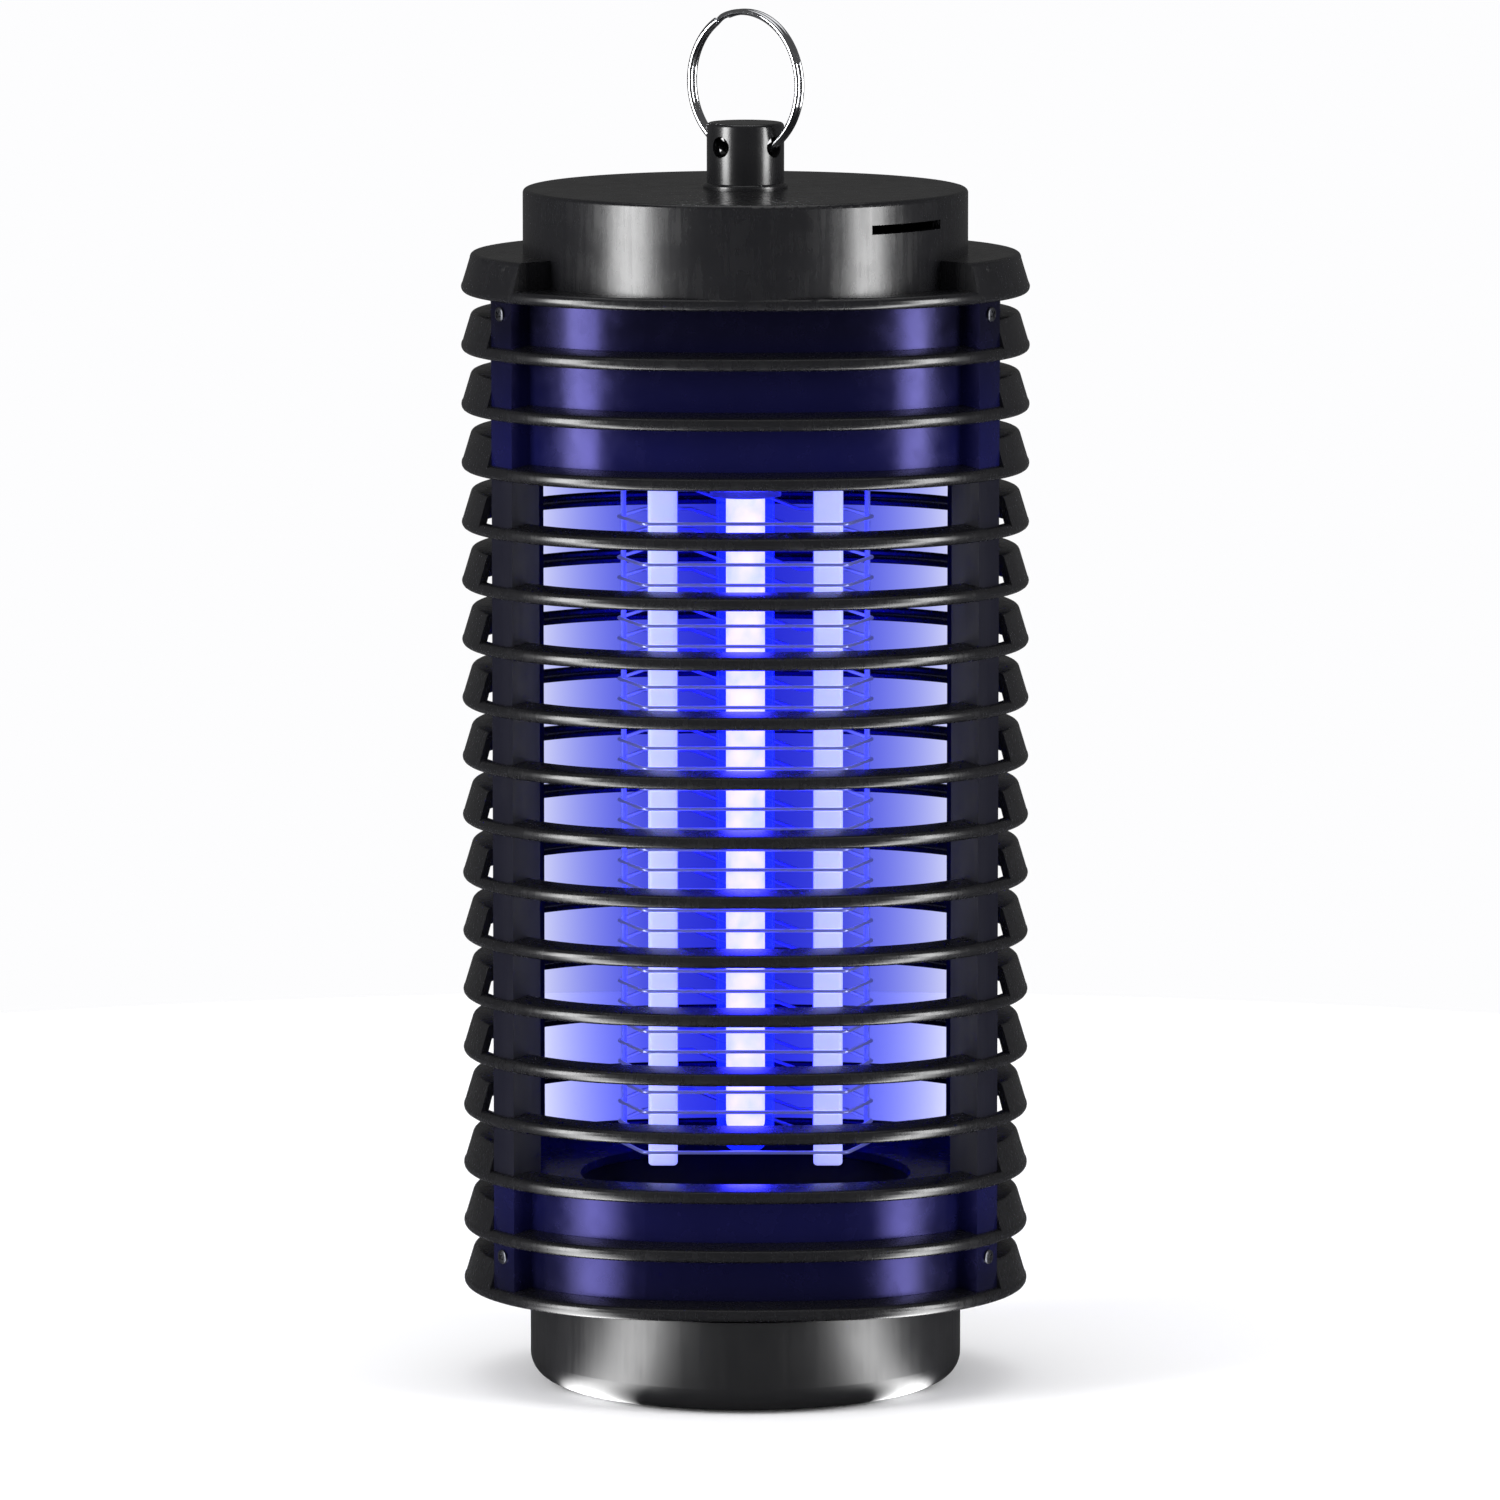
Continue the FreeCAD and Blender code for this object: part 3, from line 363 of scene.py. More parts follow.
def soft_rubber():
    # Moulded rubber: matt, dusty, with a fine pitted grain.
    return moulded("moulded_rubber", "#131313", "#262626", 0.65, 0.85, 0.5, 0.03, Specular_IOR_Level=0.3)


def white_moulding(name="white_urea_moulding"):
    # Heat-proof urea moulding: warm white, satin, slightly mottled.
    return moulded(name, "#CFCDC6", "#E6E4DE", 0.3, 0.45, 0.9, 0.008)


def solder_mask():
    # Glass-epoxy board under green solder mask, with raised copper tracks 1.2 mm apart.
    material, tree, principled, place = new_material("green_solder_mask", IOR=1.5)
    tracks = add(tree, "ShaderNodeTexBrick",
                 {"Vector": place, "Scale": 160.0, "Mortar Size": 0.12, "Color1": srgb("#0B3A1C"),
                  "Color2": srgb("#0E4422"), "Mortar": srgb("#1E6A38")})
    feed(tree, principled, Base_Color=tracks.outputs["Color"],
         Roughness=spread(tree, noise(tree, place, 2.0, 3.0), 0.25, 0.4))
    emboss(tree, principled, tracks.outputs["Fac"], 0.035)
    return material


def banded(name, base, bands, size_mm, axis="Y", **shader):
    """Small component body with painted bands along its length."""
    material, tree, principled, place = new_material(name, **shader)
    wave = add(tree, "ShaderNodeTexWave", {"Vector": place, "Scale": 1000.0 / size_mm / (2 * math.pi)},
               bands_direction=axis).outputs["Fac"]
    mask = spread(tree, wave, 0.0, 1.0, 0.78, 0.84)
    feed(tree, principled, Base_Color=blend(tree, mask, base, bands),
         Roughness=spread(tree, noise(tree, place, 1.5, 3.0), 0.25, 0.4))
    emboss(tree, principled, noise(tree, place, 0.6, 2.0), 0.01)
    return material


def lamp_glass():
    # Soda-lime tube round the discharge: thin blue-violet rim, almost clear face on.
    material, tree, principled, place = new_material(
        "soda_lime_tube", IOR=1.52, Alpha=0.42, Emission_Strength=2.6)
    dust = noise(tree, place, 3.0, 3.0)
    feed(tree, principled, Base_Color=blend(tree, dust, "#16229A", "#2B3FD0"),
         Emission_Color=blend(tree, dust, "#1E34F0", "#3A55FF"),
         Roughness=spread(tree, dust, 0.04, 0.12))
    return material


def lamp_core():
    # Phosphor-coated column: far brighter than anything round it, so it shows as white.
    lamp = settings().lamp
    material, tree, principled, place = new_material(
        "glowing_phosphor", Roughness=0.6, Emission_Strength=lamp.strength)
    cloud = noise(tree, place, 5.0, 2.0)
    feed(tree, principled, Base_Color=blend(tree, cloud, "#E8ECFF", "#FFFFFF"),
         Emission_Color=blend(tree, cloud, lamp.light, "#6A78FF"))
    return material


def make_finishes():
    """Materials for every slot of the record."""
    return {
        "housing": gloss_black_abs(), "wall": wall_abs_with_painted_glow(), "tray": tray_abs(), "hanger": gloss_enamel(),
        "ring": chrome_ring(), "rubber": soft_rubber(), "zinc_steel": zinc_steel(),
        "corner_screw": screw_steel(), "brass": turned_brass(), "insulator": post_polycarbonate(),
        "rod": rod_acrylic(), "wire": nickel_wire(), "ceiling": ceiling_plastic(), "lamp": lamp_glass(),
        "lamp_cap": white_moulding("white_lamp_cap"), "holder": white_moulding(), "board": solder_mask(),
        "core": laminated_iron(),
        # PVC sleeve of a capacitor, with pale stripes down it.
        "capacitor": banded("pvc_sleeve", "#10163C", "#B8BCC8", 9.0, "X", IOR=1.5),
        # Black epoxy with the silver cathode band.
        "diode": banded("black_epoxy", "#0C0C0C", "#A8A8A8", 5.2, "Y", IOR=1.5),
        # Lacquered ceramic with colour bands 1.6 mm apart.
        "resistor": banded("lacquered_ceramic", "#B59A6C", "#5A2A1A", 1.6, "Y", IOR=1.5),
        "terminal": moulded("green_polyamide", "#14552A", "#1C6A36", 0.4, 0.55),
    }


FINISHES = {}


# ---------------------------------------------------------------- mesh helpers
def dress(piece, body, slot, material=None):
    """Gives a finished piece its material, chosen by its slot unless one is given, and its body."""
    piece.data.materials.clear()
    piece.data.materials.append(material or FINISHES[slot])
    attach(piece, body)
    return piece


def mesh_object(name, meshes, angle=38.0):
    """One object from several meshes, merged, with outward normals, smooth up to an angle."""
    work = bmesh.new()
    for mesh in meshes:
        work.from_mesh(mesh)
    bmesh.ops.remove_doubles(work, verts=work.verts, dist=1e-6)
    bmesh.ops.recalc_face_normals(work, faces=work.faces)
    mesh = bpy.data.meshes.new(name)
    work.to_mesh(mesh)
    work.free()
    for face in mesh.polygons:
        face.use_smooth = True
    mesh.set_sharp_from_angle(angle=math.radians(angle))
    made = bpy.data.objects.new(name, mesh)
    bpy.context.scene.collection.objects.link(made)
    return made


def rounded_run(points, radii, closed, steps=4):
    """Points of a line whose corners are rounded by arcs tangent to its runs."""
    count = len(points)
    made = []
    for index, corner in enumerate(points):
        radius = radii if isinstance(radii, float) else radii[index]
        if (not closed and index in (0, count - 1)) or radius <= 0:
            made.append(corner.copy())
            continue
        into = (corner - points[index - 1]).normalized()
        out = (points[(index + 1) % count] - corner).normalized()
        turn = into.angle(out)
        if turn < 1e-3:
            made.append(corner.copy())
            continue
        cut = radius * math.tan(turn / 2)
        centre = corner + (out - into).normalized() * (radius / math.cos(turn / 2))
        start = corner - into * cut - centre
        axis = start.cross(corner + out * cut - centre).normalized()
        for step in range(steps + 1):
            made.append(centre + Matrix.Rotation(turn * step / steps, 3, axis) @ start)
    return made


def curve_object(name, runs, closed):
    """Curve object of straight-sided splines through the given points."""
    curve = bpy.data.curves.new(name, "CURVE")
    curve.dimensions = "3D"
    for run in runs:
        spline = curve.splines.new("POLY")
        spline.points.add(len(run) - 1)
        for point, place in zip(spline.points, run):
            point.co = (*place, 1.0)
        spline.use_cyclic_u = closed
    made = bpy.data.objects.new(name, curve)
    bpy.context.scene.collection.objects.link(made)
    return made


def section(corners):
    """Section curve from (inset, height, radius) corners, behind the line that it follows."""
    points = [Vector((-inset, -height, 0)) for inset, height, radius in corners]
    return curve_object("section", [rounded_run(points, [c[2] for c in corners], True)], True)


def wire_section(radius, sides=10):
    """Round section curve of a wire."""
    angles = [2 * math.pi * step / sides for step in range(sides)]
    ring = [Vector((radius * math.cos(a), radius * math.sin(a), 0)) for a in angles]
    return curve_object("section", [ring], True)


# ---------------------------------------------------------------- geometry node trees
def new_tree(name, inputs):
    tree = bpy.data.node_groups.new(name, "GeometryNodeTree")
    tree.interface.new_socket("Geometry", in_out="OUTPUT", socket_type="NodeSocketGeometry")
    tree.interface.new_socket("Geometry", in_out="INPUT", socket_type="NodeSocketGeometry")
    for label, kind in inputs:
        tree.interface.new_socket(label, in_out="INPUT", socket_type="NodeSocket" + kind)
    return tree, add(tree, "NodeGroupInput").outputs


def course_tree():
    """A section swept along a path and repeated at even heights."""
    name = "Course of swept rings"
    if name in bpy.data.node_groups:
        return bpy.data.node_groups[name]
    tree, given = new_tree(name, [("Section", "Object"), ("Count", "Int"), ("Pitch", "Float"),
                                  ("Lowest", "Float"), ("Close Ends", "Bool"), ("Finish", "Material")])
    level = add(tree, "GeometryNodeSetCurveNormal", {"Curve": given["Geometry"]}, mode="Z_UP")
    outline = add(tree, "GeometryNodeObjectInfo", {"Object": given["Section"]})
    swept = add(tree, "GeometryNodeCurveToMesh",
                {"Curve": level.outputs[0], "Profile Curve": outline.outputs["Geometry"],
                 "Fill Caps": given["Close Ends"]})
    start = add(tree, "ShaderNodeCombineXYZ", {"Z": given["Lowest"]})
    step = add(tree, "ShaderNodeCombineXYZ", {"Z": given["Pitch"]})
    places = add(tree, "GeometryNodeMeshLine", {"Count": given["Count"], "Start Location": start.outputs[0],
                                                "Offset": step.outputs[0]})
    copies = add(tree, "GeometryNodeInstanceOnPoints",
                 {"Points": places.outputs[0], "Instance": swept.outputs[0]})
    real = add(tree, "GeometryNodeRealizeInstances", {0: copies.outputs[0]})
    done = add(tree, "GeometryNodeSetMaterial", {"Geometry": real.outputs[0], "Material": given["Finish"]})
    add(tree, "NodeGroupOutput", {0: done.outputs[0]})
    return tree


def placed_tree():
    """A small part repeated on points, turned so that its Z axis lies along the facing attribute."""
    name = "Parts on facing points"
    if name in bpy.data.node_groups:
        return bpy.data.node_groups[name]
    tree, given = new_tree(name, [("Part", "Object"), ("Finish", "Material")])
    facing = add(tree, "GeometryNodeInputNamedAttribute", {"Name": "facing"}, data_type="FLOAT_VECTOR")
    turned = add(tree, "FunctionNodeAlignRotationToVector", {"Vector": facing.outputs[0]}, axis="Z")
    part = add(tree, "GeometryNodeObjectInfo", {"Object": given["Part"]})
    copies = add(tree, "GeometryNodeInstanceOnPoints",
                 {"Points": given["Geometry"], "Instance": part.outputs["Geometry"],
                  "Rotation": turned.outputs[0]})
    real = add(tree, "GeometryNodeRealizeInstances", {0: copies.outputs[0]})
    done = add(tree, "GeometryNodeSetMaterial", {"Geometry": real.outputs[0], "Material": given["Finish"]})
    add(tree, "NodeGroupOutput", {0: done.outputs[0]})
    return tree


def grown(host, tree, **inputs):
    """Runs a node tree on a host object and returns the plain mesh; the host is removed."""
    sockets = {item.name.replace(" ", "_"): item.identifier for item in tree.interface.items_tree
               if item.in_out == "INPUT"}
    modifier = host.modifiers.new("build", "NODES")
    modifier.node_group = tree
    for name, value in inputs.items():
        modifier[sockets[name]] = value
    shape = host.evaluated_get(bpy.context.evaluated_depsgraph_get())
    mesh = bpy.data.meshes.new_from_object(shape)
    host.modifiers.remove(modifier)
    bpy.data.objects.remove(host)
    return mesh


def course(runs, closed, outline, count, pitch, lowest, finish):
    """Mesh of a section swept along runs and repeated upwards from the lowest height."""
    return grown(curve_object("path", runs, closed), course_tree(), Section=outline, Count=count,
                 Pitch=pitch, Lowest=lowest, Close_Ends=not closed, Finish=finish)


def remove_objects(*unwanted):
    for one in unwanted:
        bpy.data.objects.remove(one)


# ---------------------------------------------------------------- louvres
def side_point(angle):
    """Point of the lips' edge on the right-hand arc, at an angle from +X."""
    radius = HALF_DEPTH - settings().louvres.front_bulge
    return Vector((HALF_WIDTH - radius + radius * math.cos(angle), radius * math.sin(angle), 0))


def front_line():
    """Points of the lips' edge along the front, from left to right between the side arcs."""
    bulge = settings().louvres.front_bulge
    centre_x = HALF_WIDTH - (HALF_DEPTH - bulge)
    centre_y = (centre_x ** 2 - bulge ** 2) / (2 * bulge)
    radius = HALF_DEPTH + centre_y
    half = math.atan2(centre_x, centre_y)
    steps = 24
    return [Vector((radius * math.sin(a), centre_y - radius * math.cos(a), 0))
            for a in [half * (2 * step / steps - 1) for step in range(1, steps)]], math.pi / 2 - half


def arc(start, end, steps):
    return [side_point(start + (end - start) * step / steps) for step in range(steps + 1)]


def turned_half(points):
    return [Vector((-p.x, -p.y, p.z)) for p in points]


def whole_oval():
    front, span = front_line()
    half = front + arc(-span, span, 64)
    return half + turned_half(half)


def front_and_back_runs():
    """Runs between the columns, at the front and at the back."""
    front, span = front_line()
    column = settings().louvres.column_angle
    right = arc(-span, -column, 18)
    left = [Vector((-p.x, p.y, 0)) for p in reversed(right)]
    run = left + front + right
    return [run, turned_half(run)]


def side_runs(angle):
    run = arc(-angle, angle, 26)
    return [run, turned_half(run)]


class LANTERN_OT_louvres(bpy.types.Operator):
    """Seventeen louvre hoops: rolled lips, slats behind them and leaning wings at the sides"""
    bl_idname = "lantern.louvres"
    bl_label = "Louvres"

    def execute(self, context):
        size = settings().louvres
        tall, deep, thick = size.lip_height, size.slat_depth, size.slat_thickness
        under = tall - thick
        rise = size.slat_rise
        edge = tall * 0.499
        soft = 0.35 * MM
        lip = [(0, 0, edge), (0, tall, edge), (tall, tall, soft), (tall, 0, soft)]

        def slat(depth):
            return [(0, 0, edge), (0, tall, edge), (depth, tall + rise, 0.7 * MM),
                    (depth, under + rise, 0.7 * MM), (tall + 0.2 * MM, under, 0.5 * MM), (tall, 0, soft)]

        def wing(depth):
            top = size.wing_height
            lean = size.skirt_lean / (top - tall / 2)
            foot = tall / 2 + 0.2 * MM
            inner_top = top - thick
            return [(lean * 0.2 * MM + 0.02 * MM, foot, 0), (size.skirt_lean, top, 1.2 * MM),
                    (depth, top, 0.5 * MM), (depth, inner_top, 0.5 * MM),
                    (lean * (inner_top - tall / 2) + thick, inner_top, 0.8 * MM),
                    (thick + 0.4 * MM, tall * 0.8, 0)]

        shapes = [section(s) for s in (lip, slat(deep), slat(deep + 0.3 * MM), wing(size.open_wing_depth),
                                       wing(deep + 0.3 * MM))]
        lip_s, slat_s, closed_slat_s, wing_s, closed_wing_s = shapes
        pitch = LIP_BOTTOMS[2] - LIP_BOTTOMS[3]
        finish = FINISHES["housing"]
        lowest = LIP_BOTTOMS[18]
        first_open = LIP_BOTTOMS[OPEN_LOUVRES[-1]]
        meshes = [course([whole_oval()], True, lip_s, len(LIP_BOTTOMS), pitch, lowest, finish),
                  course(front_and_back_runs(), False, slat_s, len(OPEN_LOUVRES), pitch, first_open, finish),
                  course(side_runs(size.open_wing_angle), False, wing_s, len(OPEN_LOUVRES), pitch,
                         first_open, finish)]
        for group in CLOSED_LOUVRES:
            bottom = LIP_BOTTOMS[group[-1]]
            meshes.append(course([whole_oval()], True, closed_slat_s, len(group), pitch, bottom, finish))
            meshes.append(course(side_runs(size.closed_wing_angle), False, closed_wing_s, len(group), pitch,
                                 bottom, finish))
        remove_objects(*shapes)
        piece = dress(mesh_object("louvres", meshes), "housing", "housing")
        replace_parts(piece, *["louvre_%02d" % number for number in LIP_BOTTOMS])
        return {"FINISHED"}


# ---------------------------------------------------------------- electrodes
class LANTERN_OT_electrodes(bpy.types.Operator):
    """Two wire electrodes, each wound round the four posts and climbing between the back ones"""
    bl_idname = "lantern.electrodes"
    bl_label = "Electrodes"

    def execute(self, context):
        size = settings().grid
        face, corner, post, climb = size.half_depth, size.corner, size.half_width, 2 * size.spacing
        level = 12.0 * MM
        points = [(-post, face, 0), (-corner, face, 0), (-size.side, 0, 0), (-corner, -face, 0),
                  (corner, -face, 0), (size.side, 0, 0), (corner, face, 0), (level, face, 0),
                  (-level, face, climb), (-post, face, climb)]
        run = rounded_run([Vector(p) for p in points], size.bend, False)
        for node in ("grid_wire_live", "grid_wire_return"):
            outline = wire_section(size.wire_radius)
            lowest = low(node).z + size.wire_radius
            mesh = course([run], False, outline, size.turns, climb, lowest, FINISHES["wire"])
            remove_objects(outline)
            piece = dress(mesh_object(node.replace("grid_wire", "electrode"), [mesh]), "housing", "wire")
            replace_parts(piece, node)
        return {"FINISHED"}


# ---------------------------------------------------------------- hanging ring
class LANTERN_OT_ring(bpy.types.Operator):
    """Split ring of two turns of wire, with the step from one turn to the other"""
    bl_idname = "lantern.ring"
    bl_label = "Hanging ring"

    def execute(self, context):
        chord = Vector(frame["joints"][0]["axis"]).normalized()
        across = Vector((-chord.y, chord.x, 0))
        box_low, box_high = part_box("hanging_ring")
        wire = 0.7 * MM
        gap = 1.2 * MM
        centre = (box_low + box_high) / 2
        radius = (box_high.z - box_low.z) / 2 - wire
        steps = 192
        filled = 0.985            # share of two full turns that the wire covers
        first_angle = 0.0471      # half of what the wire leaves open
        step_half = 0.14          # half angle of the step between the turns
        join_angle = math.radians(118)
        points = []
        for step in range(steps + 1):
            turned = 4 * math.pi * step / steps * filled + first_angle
            from_step = max(-1.0, min(1.0, (turned - 2 * math.pi) / step_half))
            shift = math.sin(from_step * math.pi / 2)
            around = turned + join_angle
            points.append(centre + chord * (radius * math.cos(around))
                          + Vector((0, 0, radius * math.sin(around))) + across * (shift * gap / 2))
        host = curve_object("ring_path", [points], False)
        host.data.twist_mode = "MINIMUM"
        host.data.bevel_depth = wire
        host.data.bevel_resolution = 3
        host.data.use_fill_caps = True
        mesh = bpy.data.meshes.new_from_object(host.evaluated_get(context.evaluated_depsgraph_get()))
        remove_objects(host)
        piece = dress(mesh_object("split_ring", [mesh], 60), "ring", "ring")
        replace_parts(piece, "hanging_ring")
        return {"FINISHED"}


# ---------------------------------------------------------------- screws and feet
def lathe(profile, steps=32):
    """Mesh turned about Z from (radius, height) points that start and end on the axis."""
    work = bmesh.new()
    rings = []
    for radius, height in profile:
        if radius < 1e-7:
            rings.append([work.verts.new((0, 0, height))])
        else:
            rings.append([work.verts.new((radius * math.cos(2 * math.pi * s / steps),
                                          radius * math.sin(2 * math.pi * s / steps), height))
                          for s in range(steps)])
    for first, second in zip(rings, rings[1:]):
        for s in range(steps):
            t = (s + 1) % steps
            corners = [first[s % len(first)], first[t % len(first)], second[t % len(second)],
                       second[s % len(second)]]
            unique = list(dict.fromkeys(corners))
            if len(unique) > 2:
                work.faces.new(unique)
    bmesh.ops.recalc_face_normals(work, faces=work.faces)
    mesh = bpy.data.meshes.new("lathe")
    work.to_mesh(mesh)
    work.free()
    return mesh


def parts_on(name, part_mesh, places, facings, finish):
    """A small part repeated on places through its node tree."""
    part = bpy.data.objects.new("part", part_mesh)
    bpy.context.scene.collection.objects.link(part)
    points = bpy.data.meshes.new("places")
    points.from_pydata([tuple(p) for p in places], [], [])
    facing = points.attributes.new("facing", "FLOAT_VECTOR", "POINT")
    for item, value in zip(facing.data, facings):
        item.vector = value
    host = bpy.data.objects.new("places", points)
    bpy.context.scene.collection.objects.link(host)
    mesh = grown(host, placed_tree(), Part=part, Finish=finish)
    remove_objects(part)
    return mesh_object(name, [mesh])


def cross_head(radius, height):
    """Domed screw head with a cross recess and a shank behind it."""
    shank_radius, shank_end = 0.9 * MM, -1.4 * MM
    rim = 0.55                # share of the head's height below its dome
    rise = [(radius * math.sin(a), height * (rim + (1 - rim) * math.cos(a)))
            for a in [math.radians(d) for d in (0, 18, 36, 54, 72, 90)]]
    shank = [(0, shank_end), (shank_radius, shank_end), (shank_radius, 0)]
    mesh = lathe(shank + [(radius, 0)] + rise[::-1], 24)
    head = bpy.data.objects.new("head", mesh)
    cutter_work = bmesh.new()
    for turn in (0, 90):
        made = bmesh.ops.create_cube(cutter_work, size=1.0)
        bmesh.ops.scale(cutter_work, vec=(radius * 1.2, radius * 0.3, height), verts=made["verts"])
        bmesh.ops.rotate(cutter_work, cent=(0, 0, 0), matrix=Matrix.Rotation(math.radians(turn), 3, "Z"),
                         verts=made["verts"])
        bmesh.ops.translate(cutter_work, vec=(0, 0, height), verts=made["verts"])
    cutter_mesh = bpy.data.meshes.new("cutter")
    cutter_work.to_mesh(cutter_mesh)
    cutter_work.free()
    cutter = bpy.data.objects.new("cutter", cutter_mesh)
    for one in (head, cutter):
        bpy.context.scene.collection.objects.link(one)
    modifier = head.modifiers.new("recess", "BOOLEAN")
    modifier.object = cutter
    modifier.operation = "DIFFERENCE"
    modifier.solver = "EXACT"
    modifier.use_self = True
    cut = bpy.data.meshes.new_from_object(head.evaluated_get(bpy.context.evaluated_depsgraph_get()))
    head.modifiers.remove(modifier)
    remove_objects(head, cutter)
    return cut


class LANTERN_OT_screws(bpy.types.Operator):
    """Small cross-head screws on the corner columns"""
    bl_idname = "lantern.screws"
    bl_label = "Corner screws"

    def execute(self, context):
        box_low, box_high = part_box("corner_screws")
        size = settings().louvres
        radius = HALF_DEPTH - size.front_bulge
        middle = size.column_middle
        head_radius, head_height = 1.6 * MM, 0.7 * MM
        face = radius - size.column_inset
        places, facings = [], []
        for height in (box_low.z + head_radius, box_high.z - head_radius):
            for i in (-1, 1):
                for j in (-1, 1):
                    out = Vector((i * math.cos(middle), j * math.sin(middle), 0))
                    places.append(Vector((i * (HALF_WIDTH - radius), 0, height)) + out * face)
                    facings.append(out)
        head = cross_head(head_radius, head_height)
        piece = parts_on("column_screws", head, places, facings, FINISHES["corner_screw"])
        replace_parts(dress(piece, "housing", "corner_screw"), "corner_screws")
        return {"FINISHED"}


class LANTERN_OT_feet(bpy.types.Operator):
    """Four domed rubber feet sunk in the tray's bottom"""
    bl_idname = "lantern.feet"
    bl_label = "Rubber feet"

    def execute(self, context):
        box_low, box_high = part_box("rubber_feet")
        radius = 4.0 * MM
        top = box_high.z
        reach = box_high.x - radius
        round_edge = 0.4 * MM
        arc_points = [(radius - round_edge + round_edge * math.sin(a), round_edge - round_edge * math.cos(a))
                      for a in [math.radians(d) for d in (0, 30, 60, 90)]]
        groove = [(1.6 * MM, 0), (1.4 * MM, 0.15 * MM), (1.2 * MM, 0)]
        mesh = lathe([(0, 0)] + groove[::-1] + arc_points + [(radius, top), (0, top)], 40)
        places = [Vector((i * reach, j * reach, 0)) for i in (-1, 1) for j in (-1, 1)]
        piece = parts_on("domed_feet", mesh, places, [Vector((0, 0, 1))] * 4, FINISHES["rubber"])
        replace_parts(dress(piece, "tray", "rubber"), "rubber_feet")
        return {"FINISHED"}


# ---------------------------------------------------------------- lamp
class LANTERN_OT_lamp(bpy.types.Operator):
    """Ultraviolet tube: glass with a sealed tip, and the glowing column inside it"""
    bl_idname = "lantern.lamp"
    bl_label = "Lamp"

    def execute(self, context):
        box_low, box_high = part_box("lamp_tube")
        bottom, top, radius = box_low.z, box_high.z, box_high.x
        dome = [(radius * math.sin(a), bottom + radius * (1 - math.cos(a)))
                for a in [math.radians(d) for d in (12, 24, 36, 48, 60, 72, 84, 90)]]
        tip = [(0, bottom), (0.9 * MM, bottom + 0.05 * MM)]     # flattened where the tube is sealed
        glass = mesh_object("lamp_glass", [lathe(tip + dome + [(radius, top), (0, top)], 48)])
        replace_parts(dress(glass, "housing", "lamp"), "lamp_tube")
        inner = settings().lamp.core_radius
        start = bottom + 3.2 * MM
        end = top - 1.0 * MM
        core_dome = [(inner * math.sin(a), start + inner * (1 - math.cos(a)))
                     for a in [math.radians(d) for d in (0, 20, 40, 60, 80, 90)]]
        core = mesh_object("lamp_core", [lathe(core_dome + [(inner, end), (0, end)], 40)])
        dress(core, "housing", "lamp", lamp_core())
        return {"FINISHED"}


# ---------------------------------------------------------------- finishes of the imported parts
class LANTERN_OT_finishes(bpy.types.Operator):
    """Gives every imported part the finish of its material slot, and the columns their satin"""
    bl_idname = "lantern.finishes"
    bl_label = "Finishes"

    def execute(self, context):
        FINISHES.update(make_finishes())
        for row in frame["record"]["subparts"]:
            part = NODES[row["node"]]
            for place in part.material_slots:
                place.material = FINISHES[row["material_slot"]]
        satin = column_abs()
        for side in ("front_right", "front_left", "back_right", "back_left"):
            for place in NODES["column_" + side].material_slots:
                place.material = satin
        return {"FINISHED"}


# ---------------------------------------------------------------- stage
def area_light(name, place, target, wide, tall, power, tint="#FFFFFF"):
    light = bpy.data.lights.new(name, "AREA")
    light.shape = "RECTANGLE"
    light.size = wide
    light.size_y = tall
    light.energy = power
    light.color = srgb(tint)[:3]
    made = bpy.data.objects.new(name, light)
    made.location = place
    made.rotation_euler = (Vector(target) - Vector(place)).to_track_quat("-Z", "Y").to_euler()
    bpy.context.scene.collection.objects.link(made)
    return made


def polar(azimuth, distance, height):
    """Place at an azimuth from the viewer's side, positive to the right."""
    angle = math.radians(azimuth)
    return (distance * math.sin(angle), -distance * math.cos(angle), height)


CAMERA_PLACE = (0.0, -2.3, 0.4485)
CAMERA_TARGET = (0.001, 0, 0.1405)
CAMERA_LENS = 252
SKY = 1.0
SKY_IN_GLOSS = 0.085              # the sky in reflections, as if black flags stood round the lantern
FLOOR_RADIUS = 0.55
# Colour of the floor in reflections only: painted shade.
FLOOR_IN_GLOSS = "#505052"
PATCH_STRENGTH = 12.0
PATCHES = ((-50, 11), (54, 9))    # azimuth and half width in degrees of the strips' light on the floor
STRIPS = (("strip_left", -61, 1.25, 0.46, 30), ("strip_right", 65, 1.3, 0.4, 24))
STRIP_HEIGHT = 1.3
AIR_SHARE = (0.84, 0.79)          # of the lips' outline, inside the columns and slats
AIR_DENSITY = 92.0                # at the lamp, falling to nothing at the reach
AIR_REACH = 54 * MM
AIR_GAP = 0.5 * MM


